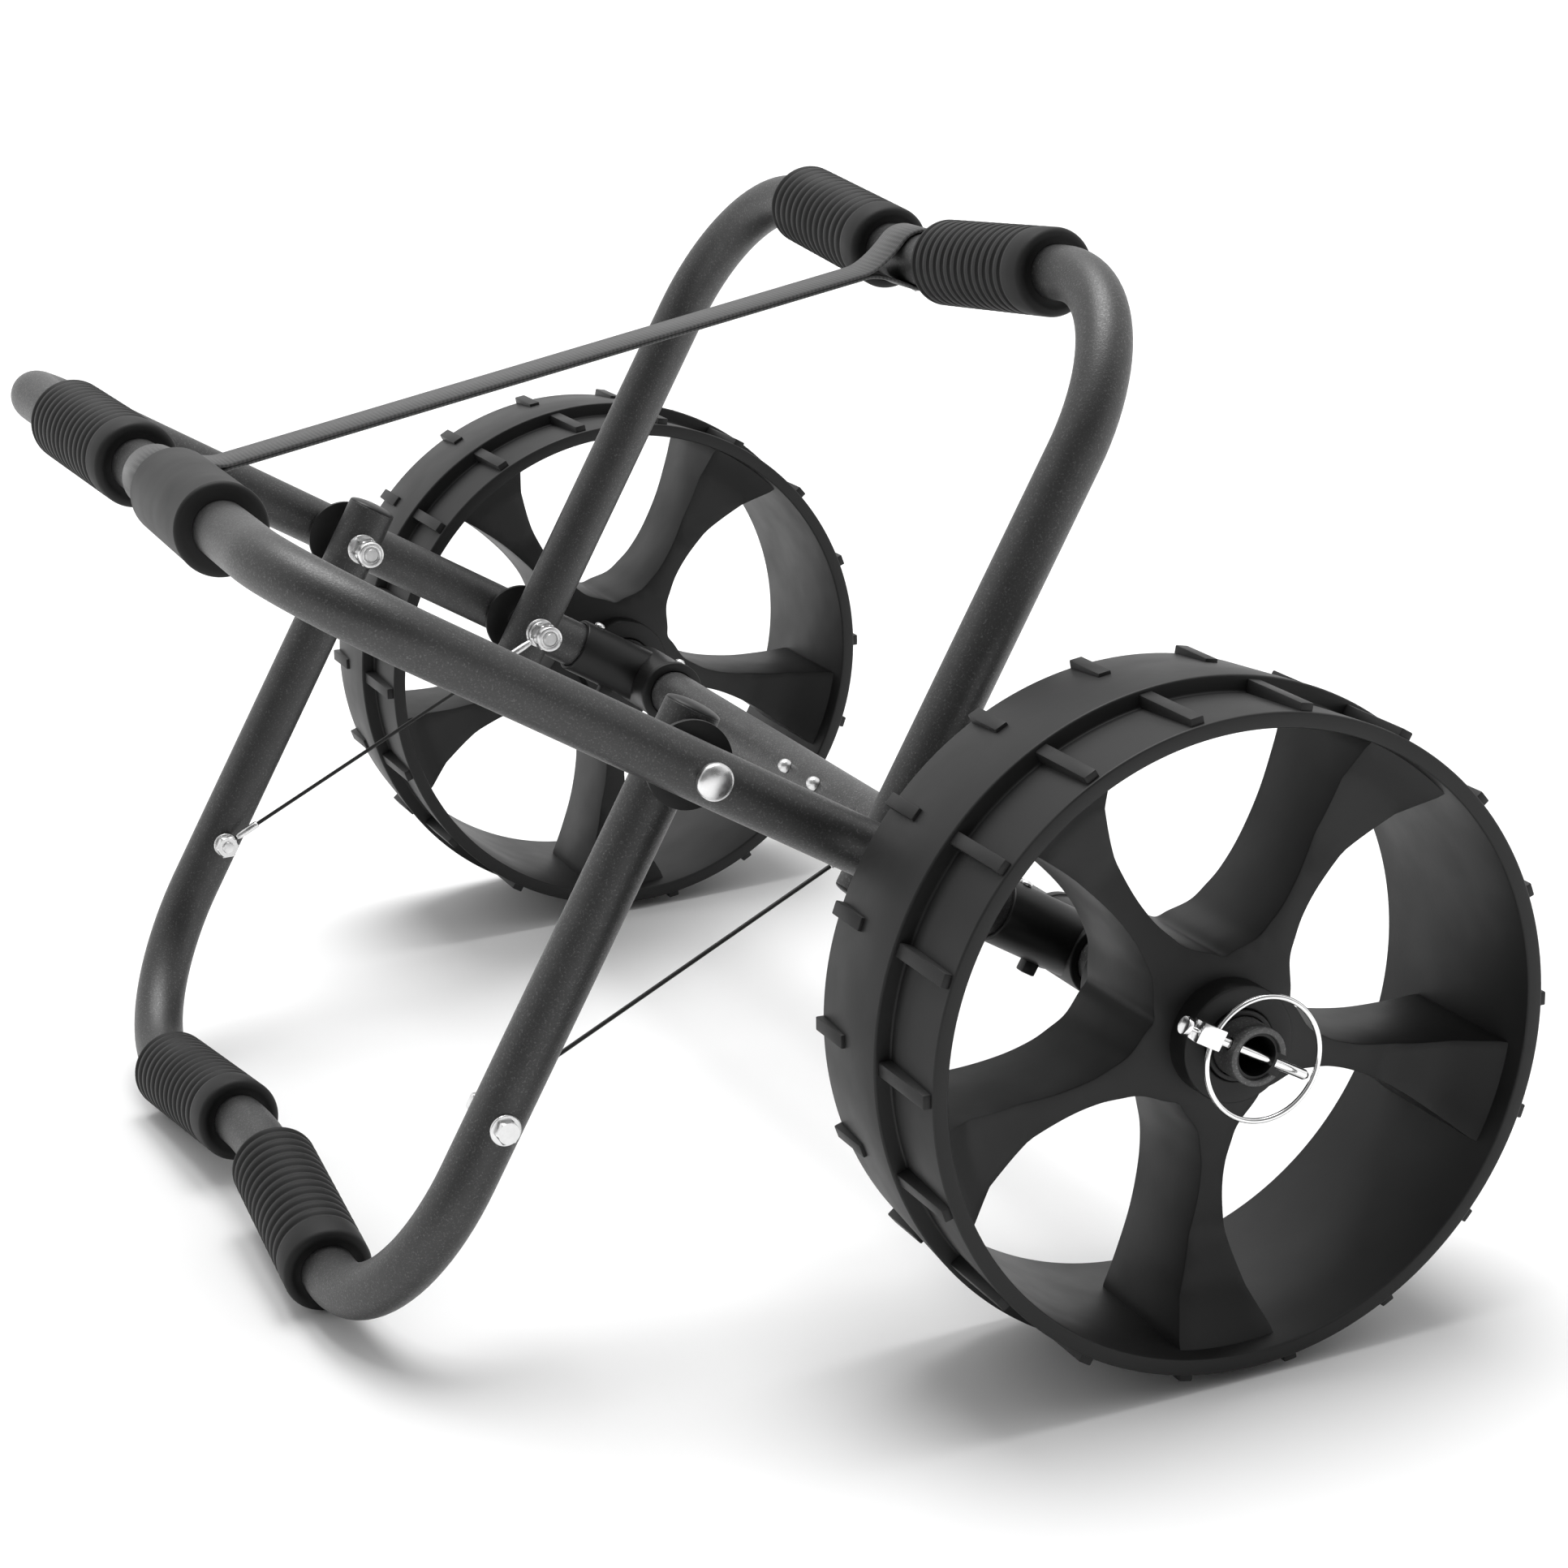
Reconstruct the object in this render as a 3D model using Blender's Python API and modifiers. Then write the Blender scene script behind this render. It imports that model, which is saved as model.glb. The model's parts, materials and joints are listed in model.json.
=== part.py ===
"""Two-wheel folding trolley: a main U-frame on an axle, a folding load arm, a folding stand, and
two push-on wheels held by ring pins. Metres, +Z up. The wheels' axle runs along Y, the near side
is -Y, and the main frame rises towards -X. The origin is the middle of the footprint."""

import math

import bmesh
import bpy
from mathutils import Matrix, Vector

GAP = 0.0003
SIDES = (("near", -1.0), ("far", 1.0))

TUBE_R = 0.0125
TUBE_BORE_R = 0.0110
SLEEVE_BORE_R = TUBE_R + GAP

AXLE_X = 0.1028
AXLE_END_Y = 0.4115
AXLE_BORE_R = 0.0099
POST_R = 0.0035
POST_Y = (0.008, 0.044)
POST_DIRECTION = Vector((-0.82, 0.0, 0.57)).normalized()

MAIN_RISE = math.radians(32.87)
MAIN_LEG_Y = 0.2632
MAIN_REACH = 0.4012
MAIN_DIP = 0.0175
MAIN_FILLET = 0.060
MAIN_KINK = 0.129

ARM_LEAN = math.radians(31.94)
ARM_LEG_Y = 0.2288
ARM_PIVOT = 0.0939
ARM_REACH = 0.2706
ARM_DIP = 0.0201
ARM_FILLET = 0.0754
STAND_PIVOT = 0.2055
STAND_DIP = 0.0247
STAND_FILLET = 0.080
FOLDING_KINK = 0.280
TAIL = 0.021
WIRE_BOLT_REACH = 0.1715

GRIP_R = 0.0202
MAIN_GRIPS = {"near": (0.031, 0.137), "far": (0.036, 0.147)}
ARM_GRIPS = {"near": (0.036, 0.141), "far": (0.027, 0.141)}
STAND_GRIPS = {"near": (0.032, 0.142), "far": (0.029, 0.142)}

WHEEL_Y = 0.350
WHEEL_HALF = 0.0525
LIP_R = 0.1400
CHANNEL_R = 0.1375
RIDGE_R = 0.1450
BAND_R = 0.1404
BAR_TOP_R = 0.1432
LUG_TOP_R = 0.1440
RIM_INNER_R = 0.1331
RIM_BACK_R = 0.1310
CHANNEL_WIDTH = 0.044
WEB_FRONT = 0.0090
WEB_DEPTH = 0.064
HUB_FRONT = 0.0070
HUB_BORE_R = 0.0154
TREAD_COUNT = 18
TREAD_PHASE = math.radians(-3.0)
TREAD_WIDTH = 0.0060
SPOKES = 5
OPENING_PHASE = math.radians(14.6)
# One window between two spokes: distance from the axle and half its angular width.
WINDOW = ((0.0336, 0.0), (0.0360, 9.3), (0.0420, 22.5), (0.0500, 27.6), (0.0600, 30.6),
          (0.0750, 31.3), (0.0950, 30.1), (0.1150, 28.0), (0.1302, 26.4))
DISH = ((0.0, 0.0100), (0.0280, 0.0105), (0.0450, 0.0140), (0.0650, 0.0173), (0.0900, 0.0205),
        (0.1150, 0.0143))

BUSH_R = 0.0150

PIN_Y = 0.4060
PIN_R = 0.0022
PIN_ANGLE = math.radians(-31.2)
PIN_BLOCK = (-0.0295, -0.0175)
PIN_TIP = 0.0290
RING_R = 0.0260
RING_WIRE_R = 0.00115
RING_TILT = 0.0082

PIVOT_BOLT_R = 0.0040
PIVOT_HOLE_R = 0.0044
SPACER_R = 0.0205
WIRE_Y = 0.2120
WIRE_R = 0.0010
STRAP_HALF_WIDTH = 0.0125
STRAP_THICK = 0.0016
STRAP_EASE = 0.0008

ROUND_STEPS = 20
WHEEL_STEPS = 60


AXLE = Vector((AXLE_X, 0.0, RIDGE_R))
MAIN_DIR = Vector((-math.cos(MAIN_RISE), 0.0, math.sin(MAIN_RISE)))
ARM_DIR = Vector((math.sin(ARM_LEAN), 0.0, math.cos(ARM_LEAN)))
STAND_DIR = -ARM_DIR
PIN_DIR = Vector((math.cos(PIN_ANGLE), 0.0, math.sin(PIN_ANGLE)))
ARM_ORIGIN = AXLE + MAIN_DIR * ARM_PIVOT
STAND_ORIGIN = AXLE + MAIN_DIR * STAND_PIVOT
WIRE_BOLT = STAND_ORIGIN + STAND_DIR * WIRE_BOLT_REACH


def stand_reach():
    """The stand's length that puts its grips on the ground with the wheels."""
    outer = STAND_GRIPS["near"][1]
    rise = STAND_DIP * (1 - outer / ARM_LEG_Y)
    slope = math.atan2(STAND_DIP, ARM_LEG_Y)
    low = GRIP_R * math.sqrt(1 - (math.sin(slope) * STAND_DIR.z) ** 2)
    return (STAND_ORIGIN.z - low) / -STAND_DIR.z + rise


STAND_REACH = stand_reach()


def clear_scene():
    for obj in list(bpy.data.objects):
        bpy.data.objects.remove(obj, do_unlink=True)


clear_scene()
PARTS = bpy.data.collections.new("folding_trolley")
CUTTERS = bpy.data.collections.new("cutters")
for collection in (PARTS, CUTTERS):
    bpy.context.scene.collection.children.link(collection)


def make_material(name, colour, roughness, metallic):
    material = bpy.data.materials.new(name)
    material.use_nodes = True
    shader = material.node_tree.nodes["Principled BSDF"]
    shader.inputs["Base Color"].default_value = (*colour, 1.0)
    shader.inputs["Roughness"].default_value = roughness
    shader.inputs["Metallic"].default_value = metallic
    return material


POWDER = make_material("powder_coat", (0.060, 0.060, 0.062), 0.55, 0.3)
AXLE_PAINT = make_material("axle_powder_coat", (0.20, 0.20, 0.205), 0.6, 0.3)
FOAM = make_material("grip_rubber", (0.013, 0.013, 0.013), 0.75, 0.0)
WHEEL_PLASTIC = make_material("wheel_plastic", (0.020, 0.020, 0.020), 0.6, 0.0)
FITTING_PLASTIC = make_material("fitting_plastic", (0.012, 0.012, 0.012), 0.5, 0.0)
STEEL = make_material("bolt_steel", (0.62, 0.62, 0.63), 0.35, 1.0)
CHROME = make_material("pin_chrome", (0.80, 0.80, 0.81), 0.15, 1.0)
WEBBING = make_material("strap_webbing", (0.10, 0.10, 0.10), 0.85, 0.0)
CABLE = make_material("wire_coating", (0.015, 0.015, 0.015), 0.45, 0.0)


def new_object(name, mesh, material=None):
    obj = bpy.data.objects.new(name, mesh)
    (PARTS if material else CUTTERS).objects.link(obj)
    if material:
        mesh.materials.clear()
        mesh.materials.append(material)
    else:
        obj.hide_render = True
        obj.display_type = "WIRE"
    return obj


def along(origin, direction, roll=None):
    """A placement whose local Z runs along a direction; roll gives what its local X follows."""
    z = Vector(direction).normalized()
    if roll is None:
        turn = z.to_track_quat("Z", "Y").to_matrix()
    else:
        x = (Vector(roll) - z * Vector(roll).dot(z)).normalized()
        turn = Matrix((x, z.cross(x), z)).transposed()
    return Matrix.Translation(origin) @ turn.to_4x4()


def turned(name, profile, material=None, steps=ROUND_STEPS, closed=False):
    """A profile of (radius, height) points turned about local Z, from the top down its outside."""
    mesh = bpy.data.meshes.new(name)
    count = len(profile)
    last = count if closed else count - 1
    mesh.from_pydata([(r, 0.0, z) for r, z in profile], [(i, (i + 1) % count) for i in range(last)], [])
    obj = new_object(name, mesh, material)
    screw = obj.modifiers.new("turn", "SCREW")
    screw.steps = screw.render_steps = steps
    screw.use_merge_vertices = True
    screw.merge_threshold = 0.00001
    screw.use_smooth_shade = True
    return obj


def cylinder(name, radius, low, high, material=None, steps=ROUND_STEPS):
    bpy.ops.mesh.primitive_cylinder_add(vertices=steps, radius=radius, depth=high - low)
    made = bpy.context.active_object
    made.data.transform(Matrix.Translation((0.0, 0.0, (high + low) / 2)))
    obj = new_object(name, made.data, material)
    bpy.data.objects.remove(made)
    return obj


def block(name, size, centre, material=None):
    bpy.ops.mesh.primitive_cube_add(size=1.0)
    made = bpy.context.active_object
    made.data.transform(Matrix.Translation(centre) @ Matrix.Diagonal((*size, 1.0)))
    obj = new_object(name, made.data, material)
    bpy.data.objects.remove(made)
    return obj


def outline(name, points, half, material=None):
    """A flat outline in local XY, thick along local Z."""
    curve = bpy.data.curves.new(name, "CURVE")
    curve.dimensions = "2D"
    curve.fill_mode = "BOTH"
    curve.extrude = half
    spline = curve.splines.new("POLY")
    spline.points.add(len(points) - 1)
    for point, (x, y) in zip(spline.points, points):
        point.co = (x, y, 0.0, 1.0)
    spline.use_cyclic_u = True
    return solid_curve(name, curve, material)


def tube(name, points, radius, material=None, resolution=4):
    """A round bar along a list of points, as a closed mesh."""
    curve = bpy.data.curves.new(name, "CURVE")
    curve.dimensions = "3D"
    curve.bevel_depth = radius
    curve.bevel_resolution = resolution
    curve.use_fill_caps = True
    spline = curve.splines.new("POLY")
    spline.points.add(len(points) - 1)
    for point, at in zip(spline.points, points):
        point.co = (*at, 1.0)
    return solid_curve(name, curve, material)


def solid_curve(name, curve, material):
    guide = bpy.data.objects.new(name + "_guide", curve)
    bpy.context.scene.collection.objects.link(guide)
    bpy.context.view_layer.update()
    evaluated = guide.evaluated_get(bpy.context.evaluated_depsgraph_get())
    mesh = bpy.data.meshes.new_from_object(evaluated)
    bpy.data.objects.remove(guide)
    shape = bmesh.new()
    shape.from_mesh(mesh)
    bmesh.ops.remove_doubles(shape, verts=shape.verts, dist=0.00001)
    bmesh.ops.recalc_face_normals(shape, faces=shape.faces)
    shape.to_mesh(mesh)
    shape.free()
    return new_object(name, mesh, material)


def combine(obj, other, operation="DIFFERENCE"):
    modifier = obj.modifiers.new(other.name, "BOOLEAN")
    modifier.operation = operation
    modifier.solver = "EXACT"
    modifier.object = other
    return obj


def drill(obj, name, radius, centre, direction, reach, steps=12):
    """A round hole through an object, centred on a point."""
    cutter = cylinder(name, radius, -reach, reach, steps=steps)
    cutter.matrix_world = along(centre, direction)
    return combine(obj, cutter)


def smooth(obj):
    obj.data.shade_smooth()
    obj.data.set_sharp_from_angle(angle=math.radians(35))
    return obj


def round_corner(before, corner, after, radius, segments):
    """Points along the arc that replaces a corner."""
    back, ahead = (before - corner).normalized(), (after - corner).normalized()
    half = back.angle(ahead) / 2
    middle = (back + ahead).normalized()
    centre = corner + middle * (radius / math.sin(half))
    turn = math.pi / 2 - half
    side = (ahead - back).normalized()
    angles = [turn * (2 * i / segments - 1) for i in range(segments + 1)]
    return [centre - middle * radius * math.cos(a) + side * radius * math.sin(a) for a in angles]


def u_route(origin, direction, leg_y, reach, dip, fillet, kink, start):
    """The centre line of a U-shaped tube, from its far leg's end to its near leg's end."""
    def at(along_leg, y):
        return origin + direction * along_leg + Vector((0.0, y, 0.0))

    far_end, near_end = at(start, leg_y), at(start, -leg_y)
    far_corner, near_corner, middle = at(reach, leg_y), at(reach, -leg_y), at(reach - dip, 0.0)
    return [far_end,
            *round_corner(far_end, far_corner, middle, fillet, 9),
            *round_corner(far_corner, middle, near_corner, kink, 4),
            *round_corner(middle, near_corner, near_end, fillet, 9),
            near_end]


def u_frame(name, route):
    """A bent tube, open at both ends."""
    frame = tube(name, route, TUBE_R, POWDER)
    first = route[0] + (route[0] - route[1]).normalized() * 0.001
    last = route[-1] + (route[-1] - route[-2]).normalized() * 0.001
    bore = tube(name + "_bore", [first, *route[1:-1], last], TUBE_BORE_R, resolution=2)
    return smooth(combine(frame, bore))


def bar_point(origin, direction, leg_y, reach, dip, y):
    return origin + direction * (reach - dip + dip * abs(y) / leg_y) + Vector((0.0, y, 0.0))


def bar_middle(origin, direction, leg_y, reach, dip, kink):
    """The centre line's point at the rounded kink in the middle of a cross bar."""
    rounding = kink * (1 / math.cos(math.atan2(dip, leg_y)) - 1)
    return origin + direction * (reach - dip + rounding + STRAP_EASE / 4)


def grip(name, bar, side, span):
    """A sleeve on one half of a U-frame's cross bar; bar is what bar_point needs."""
    inner, outer = (bar_point(*bar, side * y) for y in span)
    length = (outer - inner).length
    ends = ((GRIP_R, 0.0), (GRIP_R, length), (SLEEVE_BORE_R, length), (SLEEVE_BORE_R, 0.0))
    sleeve = turned(name, ends[1::-1] + ends[:1:-1], FOAM, closed=True)
    sleeve.matrix_world = along(inner, outer - inner)
    return sleeve


MAIN_BAR = (AXLE, MAIN_DIR, MAIN_LEG_Y, MAIN_REACH, MAIN_DIP)
ARM_BAR = (ARM_ORIGIN, ARM_DIR, ARM_LEG_Y, ARM_REACH, ARM_DIP)
STAND_BAR = (STAND_ORIGIN, STAND_DIR, ARM_LEG_Y, STAND_REACH, STAND_DIP)


def frames():
    main = u_frame("main_frame_tube", u_route(*MAIN_BAR, MAIN_FILLET, MAIN_KINK, TUBE_R + 2 * GAP))
    arm = u_frame("load_arm_tube", u_route(*ARM_BAR, ARM_FILLET, FOLDING_KINK, -TAIL))
    stand = u_frame("stand_tube", u_route(*STAND_BAR, STAND_FILLET, FOLDING_KINK, -TAIL))
    for side, sign in SIDES:
        leg = Vector((0.0, sign * MAIN_LEG_Y, 0.0))
        inner_leg = Vector((0.0, sign * ARM_LEG_Y, 0.0))
        for origin, other, label in ((ARM_ORIGIN, arm, "arm"), (STAND_ORIGIN, stand, "stand")):
            drill(main, f"main_{label}_hole_{side}", PIVOT_HOLE_R, origin + leg, (0, 1, 0), 0.02)
            drill(other, f"{label}_hole_{side}", PIVOT_HOLE_R, origin + inner_leg, (0, 1, 0), 0.02)
        drill(stand, f"wire_hole_{side}", 0.0034, WIRE_BOLT + inner_leg, (0, 1, 0), 0.02)
        grip(f"main_grip_{side}", MAIN_BAR, sign, MAIN_GRIPS[side])
        grip(f"load_arm_grip_{side}", ARM_BAR, sign, ARM_GRIPS[side])
        grip(f"stand_grip_{side}", STAND_BAR, sign, STAND_GRIPS[side])


def axle():
    """The axle tube, with a cross hole and an open slot for the pin at each end."""
    wall = ((TUBE_R, AXLE_END_Y), (TUBE_R, -AXLE_END_Y),
            (AXLE_BORE_R, -AXLE_END_Y), (AXLE_BORE_R, AXLE_END_Y))
    bar = turned("axle_tube", wall, AXLE_PAINT, steps=24, closed=True)
    bar.matrix_world = along(AXLE, (0, 1, 0))
    for side, sign in SIDES:
        centre = AXLE + Vector((0.0, sign * PIN_Y, 0.0))
        drill(bar, f"pin_hole_{side}", PIN_R + 0.0005, centre - PIN_DIR * 0.012, PIN_DIR, 0.008)
        slot = block(f"pin_slot_{side}", (0.0095, 0.010, 0.010), (0.0, 0.0, 0.0))
        outward = Vector((0.0, sign, 0.0))
        middle = AXLE + outward * (AXLE_END_Y - 0.008 + 0.005) + PIN_DIR * 0.012
        slot.matrix_world = along(middle, PIN_DIR, outward.cross(PIN_DIR))
        combine(bar, slot)
    for index, y in enumerate(POST_Y, 1):
        seat = AXLE + Vector((0.0, y, 0.0)) + POST_DIRECTION * TUBE_R
        drill(bar, f"post_hole_{index}", 0.0023, seat, POST_DIRECTION, 0.004, steps=12)
        head = ((0.0, 0.0050), (0.0018, 0.0047), (0.0030, 0.0036), (POST_R, 0.0018), (POST_R, GAP),
                (0.0018, GAP), (0.0018, -0.0035), (0.0, -0.0035))
        post = turned(f"axle_post_{index}", head, STEEL, steps=16)
        post.matrix_world = along(seat, POST_DIRECTION)


def axle_fitting(side, sign):
    """The moulded elbow that joins a main frame leg to the axle."""
    name = f"axle_fitting_{side}"
    inward = -sign
    boss = turned(name, ((0.0176, 0.0333), (0.0176, 0.0290), (0.0166, 0.0280), (0.0166, -0.0160),
                         (0.0100, -0.0160), (0.0100, 0.0333)), FITTING_PLASTIC, 24, closed=True)
    centre = AXLE + Vector((0.0, sign * MAIN_LEG_Y, 0.0))
    boss.matrix_world = along(centre, (0, inward, 0))
    sleeve = cylinder(name + "_sleeve", 0.0148, 0.002, 0.0520, steps=24)
    sleeve.matrix_world = along(centre, MAIN_DIR)
    combine(boss, sleeve, "UNION")
    down = Vector((MAIN_DIR.z, 0.0, -MAIN_DIR.x)) * -1
    lug = block(name + "_lug", (0.0070, 0.0060, 0.0080), (0.0, 0.0, 0.0))
    lug.matrix_world = along(centre + MAIN_DIR * 0.0235 + down * 0.0160, down, MAIN_DIR)
    combine(boss, lug, "UNION")
    for label, direction in (("leg", MAIN_DIR), ("axle", Vector((0.0, 1.0, 0.0)))):
        bore = cylinder(f"{name}_{label}_bore", SLEEVE_BORE_R, -0.06, 0.06, steps=24)
        bore.matrix_world = along(centre if label == "axle" else centre + MAIN_DIR * 0.06, direction)
        combine(boss, bore)
    up = -down
    seats = (("leg", centre + MAIN_DIR * 0.0430 + up * 0.0148, up),
             ("boss", centre + Vector((0.0, inward * 0.0235, 0.0)) + up * 0.0166, up))
    for label, seat, direction in seats:
        drill(boss, f"{name}_{label}_screw_hole", 0.0016, seat, direction, 0.006, steps=12)
        head = ((0.0, 0.0022), (0.0018, 0.0019), (0.0030, 0.0009), (0.0030, GAP),
                (0.0012, GAP), (0.0012, -0.0015), (0.0, -0.0015))
        screw = turned(f"fitting_{label}_screw_{side}", head, STEEL, steps=16)
        screw.matrix_world = along(seat, direction)


def pivot(label, origin, side, sign):
    """A bolt, spacer, washer and nut that join a folding frame's leg to the main frame's leg."""
    outward = Vector((0.0, sign, 0.0))
    spacer = cylinder(f"{label}_spacer_{side}", SPACER_R, 0.2416, 0.2580, FITTING_PLASTIC, 24)
    spacer.matrix_world = along(origin, outward)
    saddle = cylinder(f"{label}_saddle_{side}", SLEEVE_BORE_R, -0.04, 0.04, steps=24)
    saddle.matrix_world = along(origin + outward * MAIN_LEG_Y, MAIN_DIR)
    combine(spacer, saddle)
    drill(spacer, f"{label}_spacer_hole_{side}", PIVOT_HOLE_R, origin + outward * 0.25, outward, 0.02)
    head_y = MAIN_LEG_Y + TUBE_R + GAP
    end_y = ARM_LEG_Y - TUBE_R - 0.0185
    bolt_profile = ((0.0, head_y + 0.0060), (0.0050, head_y + 0.0055), (0.0072, head_y + 0.0042),
                    (0.0080, head_y + 0.0026), (0.0080, head_y), (PIVOT_BOLT_R, head_y),
                    (PIVOT_BOLT_R, end_y + 0.0008), (PIVOT_BOLT_R - 0.0008, end_y), (0.0, end_y))
    bolt = turned(f"{label}_pivot_bolt_{side}", bolt_profile, STEEL, steps=14)
    bolt.matrix_world = along(origin, outward)
    face = ARM_LEG_Y - TUBE_R - GAP
    ring = ((0.0078, face), (0.0078, face - 0.0014), (PIVOT_HOLE_R, face - 0.0014), (PIVOT_HOLE_R, face))
    washer = turned(f"{label}_pivot_washer_{side}", ring, STEEL, steps=14, closed=True)
    washer.matrix_world = along(origin, outward)
    top = WIRE_Y - 0.0012
    nut = cylinder(f"{label}_pivot_nut_{side}", 0.0072, top - 0.0070, top, STEEL, steps=6)
    nut.matrix_world = along(origin, outward)
    drill(nut, f"{label}_nut_hole_{side}", PIVOT_HOLE_R, origin + outward * (top - 0.0035), outward, 0.01)


def wire_set(side, sign):
    """The stay wire between the stand's leg and the load arm's pivot, with its bolt and nut."""
    outward = Vector((0.0, sign, 0.0))
    head_y = ARM_LEG_Y + TUBE_R + GAP
    end_y = ARM_LEG_Y - TUBE_R - 0.0110
    profile = ((0.0, head_y + 0.0050), (0.0040, head_y + 0.0046), (0.0050, head_y + 0.0036),
               (0.0050, head_y + 0.0014), (0.0070, head_y + 0.0012), (0.0070, head_y),
               (0.0030, head_y), (0.0030, end_y), (0.0, end_y))
    bolt = turned(f"wire_bolt_{side}", profile, STEEL, steps=14)
    bolt.matrix_world = along(WIRE_BOLT, outward)
    top = WIRE_Y - 0.0012
    nut = cylinder(f"wire_nut_{side}", 0.0062, top - 0.0045, top, STEEL, steps=6)
    nut.matrix_world = along(WIRE_BOLT, outward)
    drill(nut, f"wire_nut_hole_{side}", 0.0034, WIRE_BOLT + outward * (top - 0.002), outward, 0.008)
    shift = outward * WIRE_Y
    start, end = WIRE_BOLT + shift, ARM_ORIGIN + shift
    course = (end - start).normalized()
    wire = tube(f"stay_wire_{side}", [start + course * 0.0050, end - course * 0.0060],
                WIRE_R, CABLE, resolution=2)
    for label, centre, hole, rim in (("stand", start, 0.0034, 0.0062), ("arm", end, 0.0044, 0.0072)):
        eye = cylinder(f"{label}_eye_{side}", rim, -0.0008, 0.0008, steps=14)
        eye.matrix_world = along(centre, outward)
        combine(wire, eye, "UNION")
        drill(wire, f"{label}_eye_hole_{side}", hole, centre, outward, 0.004)
    for label, from_eye, to_eye in (("stand", start, course), ("arm", end, -course)):
        ferrule = cylinder(f"{label}_ferrule_{side}", 0.0019, 0.0090, 0.0200, steps=12)
        ferrule.matrix_world = along(from_eye, to_eye)
        combine(wire, ferrule, "UNION")


def wheel_opening(name):
    """The window between two spokes, as a thick outline."""
    angles = [(r, math.radians(a)) for r, a in WINDOW]
    up = [(r * math.cos(a), r * math.sin(a)) for r, a in angles]
    edge = angles[-1][1]
    outer = RIM_INNER_R + 0.0020
    arc = [(outer * math.cos(edge * t), outer * math.sin(edge * t)) for t in (1, 0.6, 0.2, -0.2, -0.6, -1)]
    down = [(x, -y) for x, y in reversed(up[1:])]
    return outline(name, up + arc + down, WHEEL_HALF + 0.002)


def wheel(side, sign):
    """One moulded wheel: rim, tread bars, spoke web and hub. Its local Z points to -Y."""
    name = f"wheel_{side}"
    placement = along(AXLE + Vector((0.0, sign * WHEEL_Y, 0.0)), (0, -1, 0), (1, 0, 0))
    half, ridge = WHEEL_HALF, WHEEL_HALF - CHANNEL_WIDTH
    rim_profile = ((LIP_R, half), (CHANNEL_R, ridge), (RIDGE_R, ridge), (BAND_R, -half),
                   (RIM_BACK_R, -half), (RIM_INNER_R, half))
    rim = turned(name, rim_profile, WHEEL_PLASTIC, WHEEL_STEPS, closed=True)
    rim.matrix_world = placement
    front = half - WEB_FRONT
    wall = RIM_INNER_R + 0.001
    web_profile = (*((r, front - sunk) for r, sunk in DISH), (wall, front), (wall, front - WEB_DEPTH),
                   (0.0, front - WEB_DEPTH))
    web = turned(name + "_web", web_profile, None, WHEEL_STEPS)
    for index in range(SPOKES):
        window = wheel_opening(f"{name}_window_{index}")
        window.matrix_world = Matrix.Rotation(OPENING_PHASE + index * math.tau / SPOKES, 4, "Z")
        combine(web, window)
    web.matrix_world = placement
    for index in range(SPOKES):
        bpy.data.objects[f"{name}_window_{index}"].matrix_world = placement @ bpy.data.objects[
            f"{name}_window_{index}"].matrix_world
    combine(rim, web, "UNION")
    hub = cylinder(name + "_hub", 0.0250, -(half - HUB_FRONT), half - HUB_FRONT, steps=24)
    hub.matrix_world = placement
    combine(rim, hub, "UNION")
    for index in range(TREAD_COUNT):
        angle = TREAD_PHASE + index * math.tau / TREAD_COUNT
        turn = placement @ Matrix.Rotation(angle, 4, "Z")
        bar = block(f"{name}_bar_{index}", (BAR_TOP_R - 0.1350, TREAD_WIDTH, CHANNEL_WIDTH - 0.002),
                    ((BAR_TOP_R + 0.1350) / 2, 0.0, ridge + CHANNEL_WIDTH / 2 - 0.002))
        lug = block(f"{name}_lug_{index}", (LUG_TOP_R - 0.1350, TREAD_WIDTH, 0.0260),
                    ((LUG_TOP_R + 0.1350) / 2, 0.0, -half + 0.0135))
        for piece in (bar, lug):
            piece.matrix_world = turn
            combine(rim, piece, "UNION")
    drill(rim, name + "_bore", HUB_BORE_R, placement.translation, (0, 1, 0), 0.08, steps=24)
    smooth(rim)
    reach = half - HUB_FRONT
    bush_profile = ((BUSH_R, reach + 0.0015), (BUSH_R, -reach - 0.0015),
                    (0.0130, -reach - 0.0015), (0.0130, reach + 0.0015))
    bush = turned(f"wheel_bush_{side}", bush_profile, FITTING_PLASTIC, 24, closed=True)
    bush.matrix_world = placement


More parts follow.
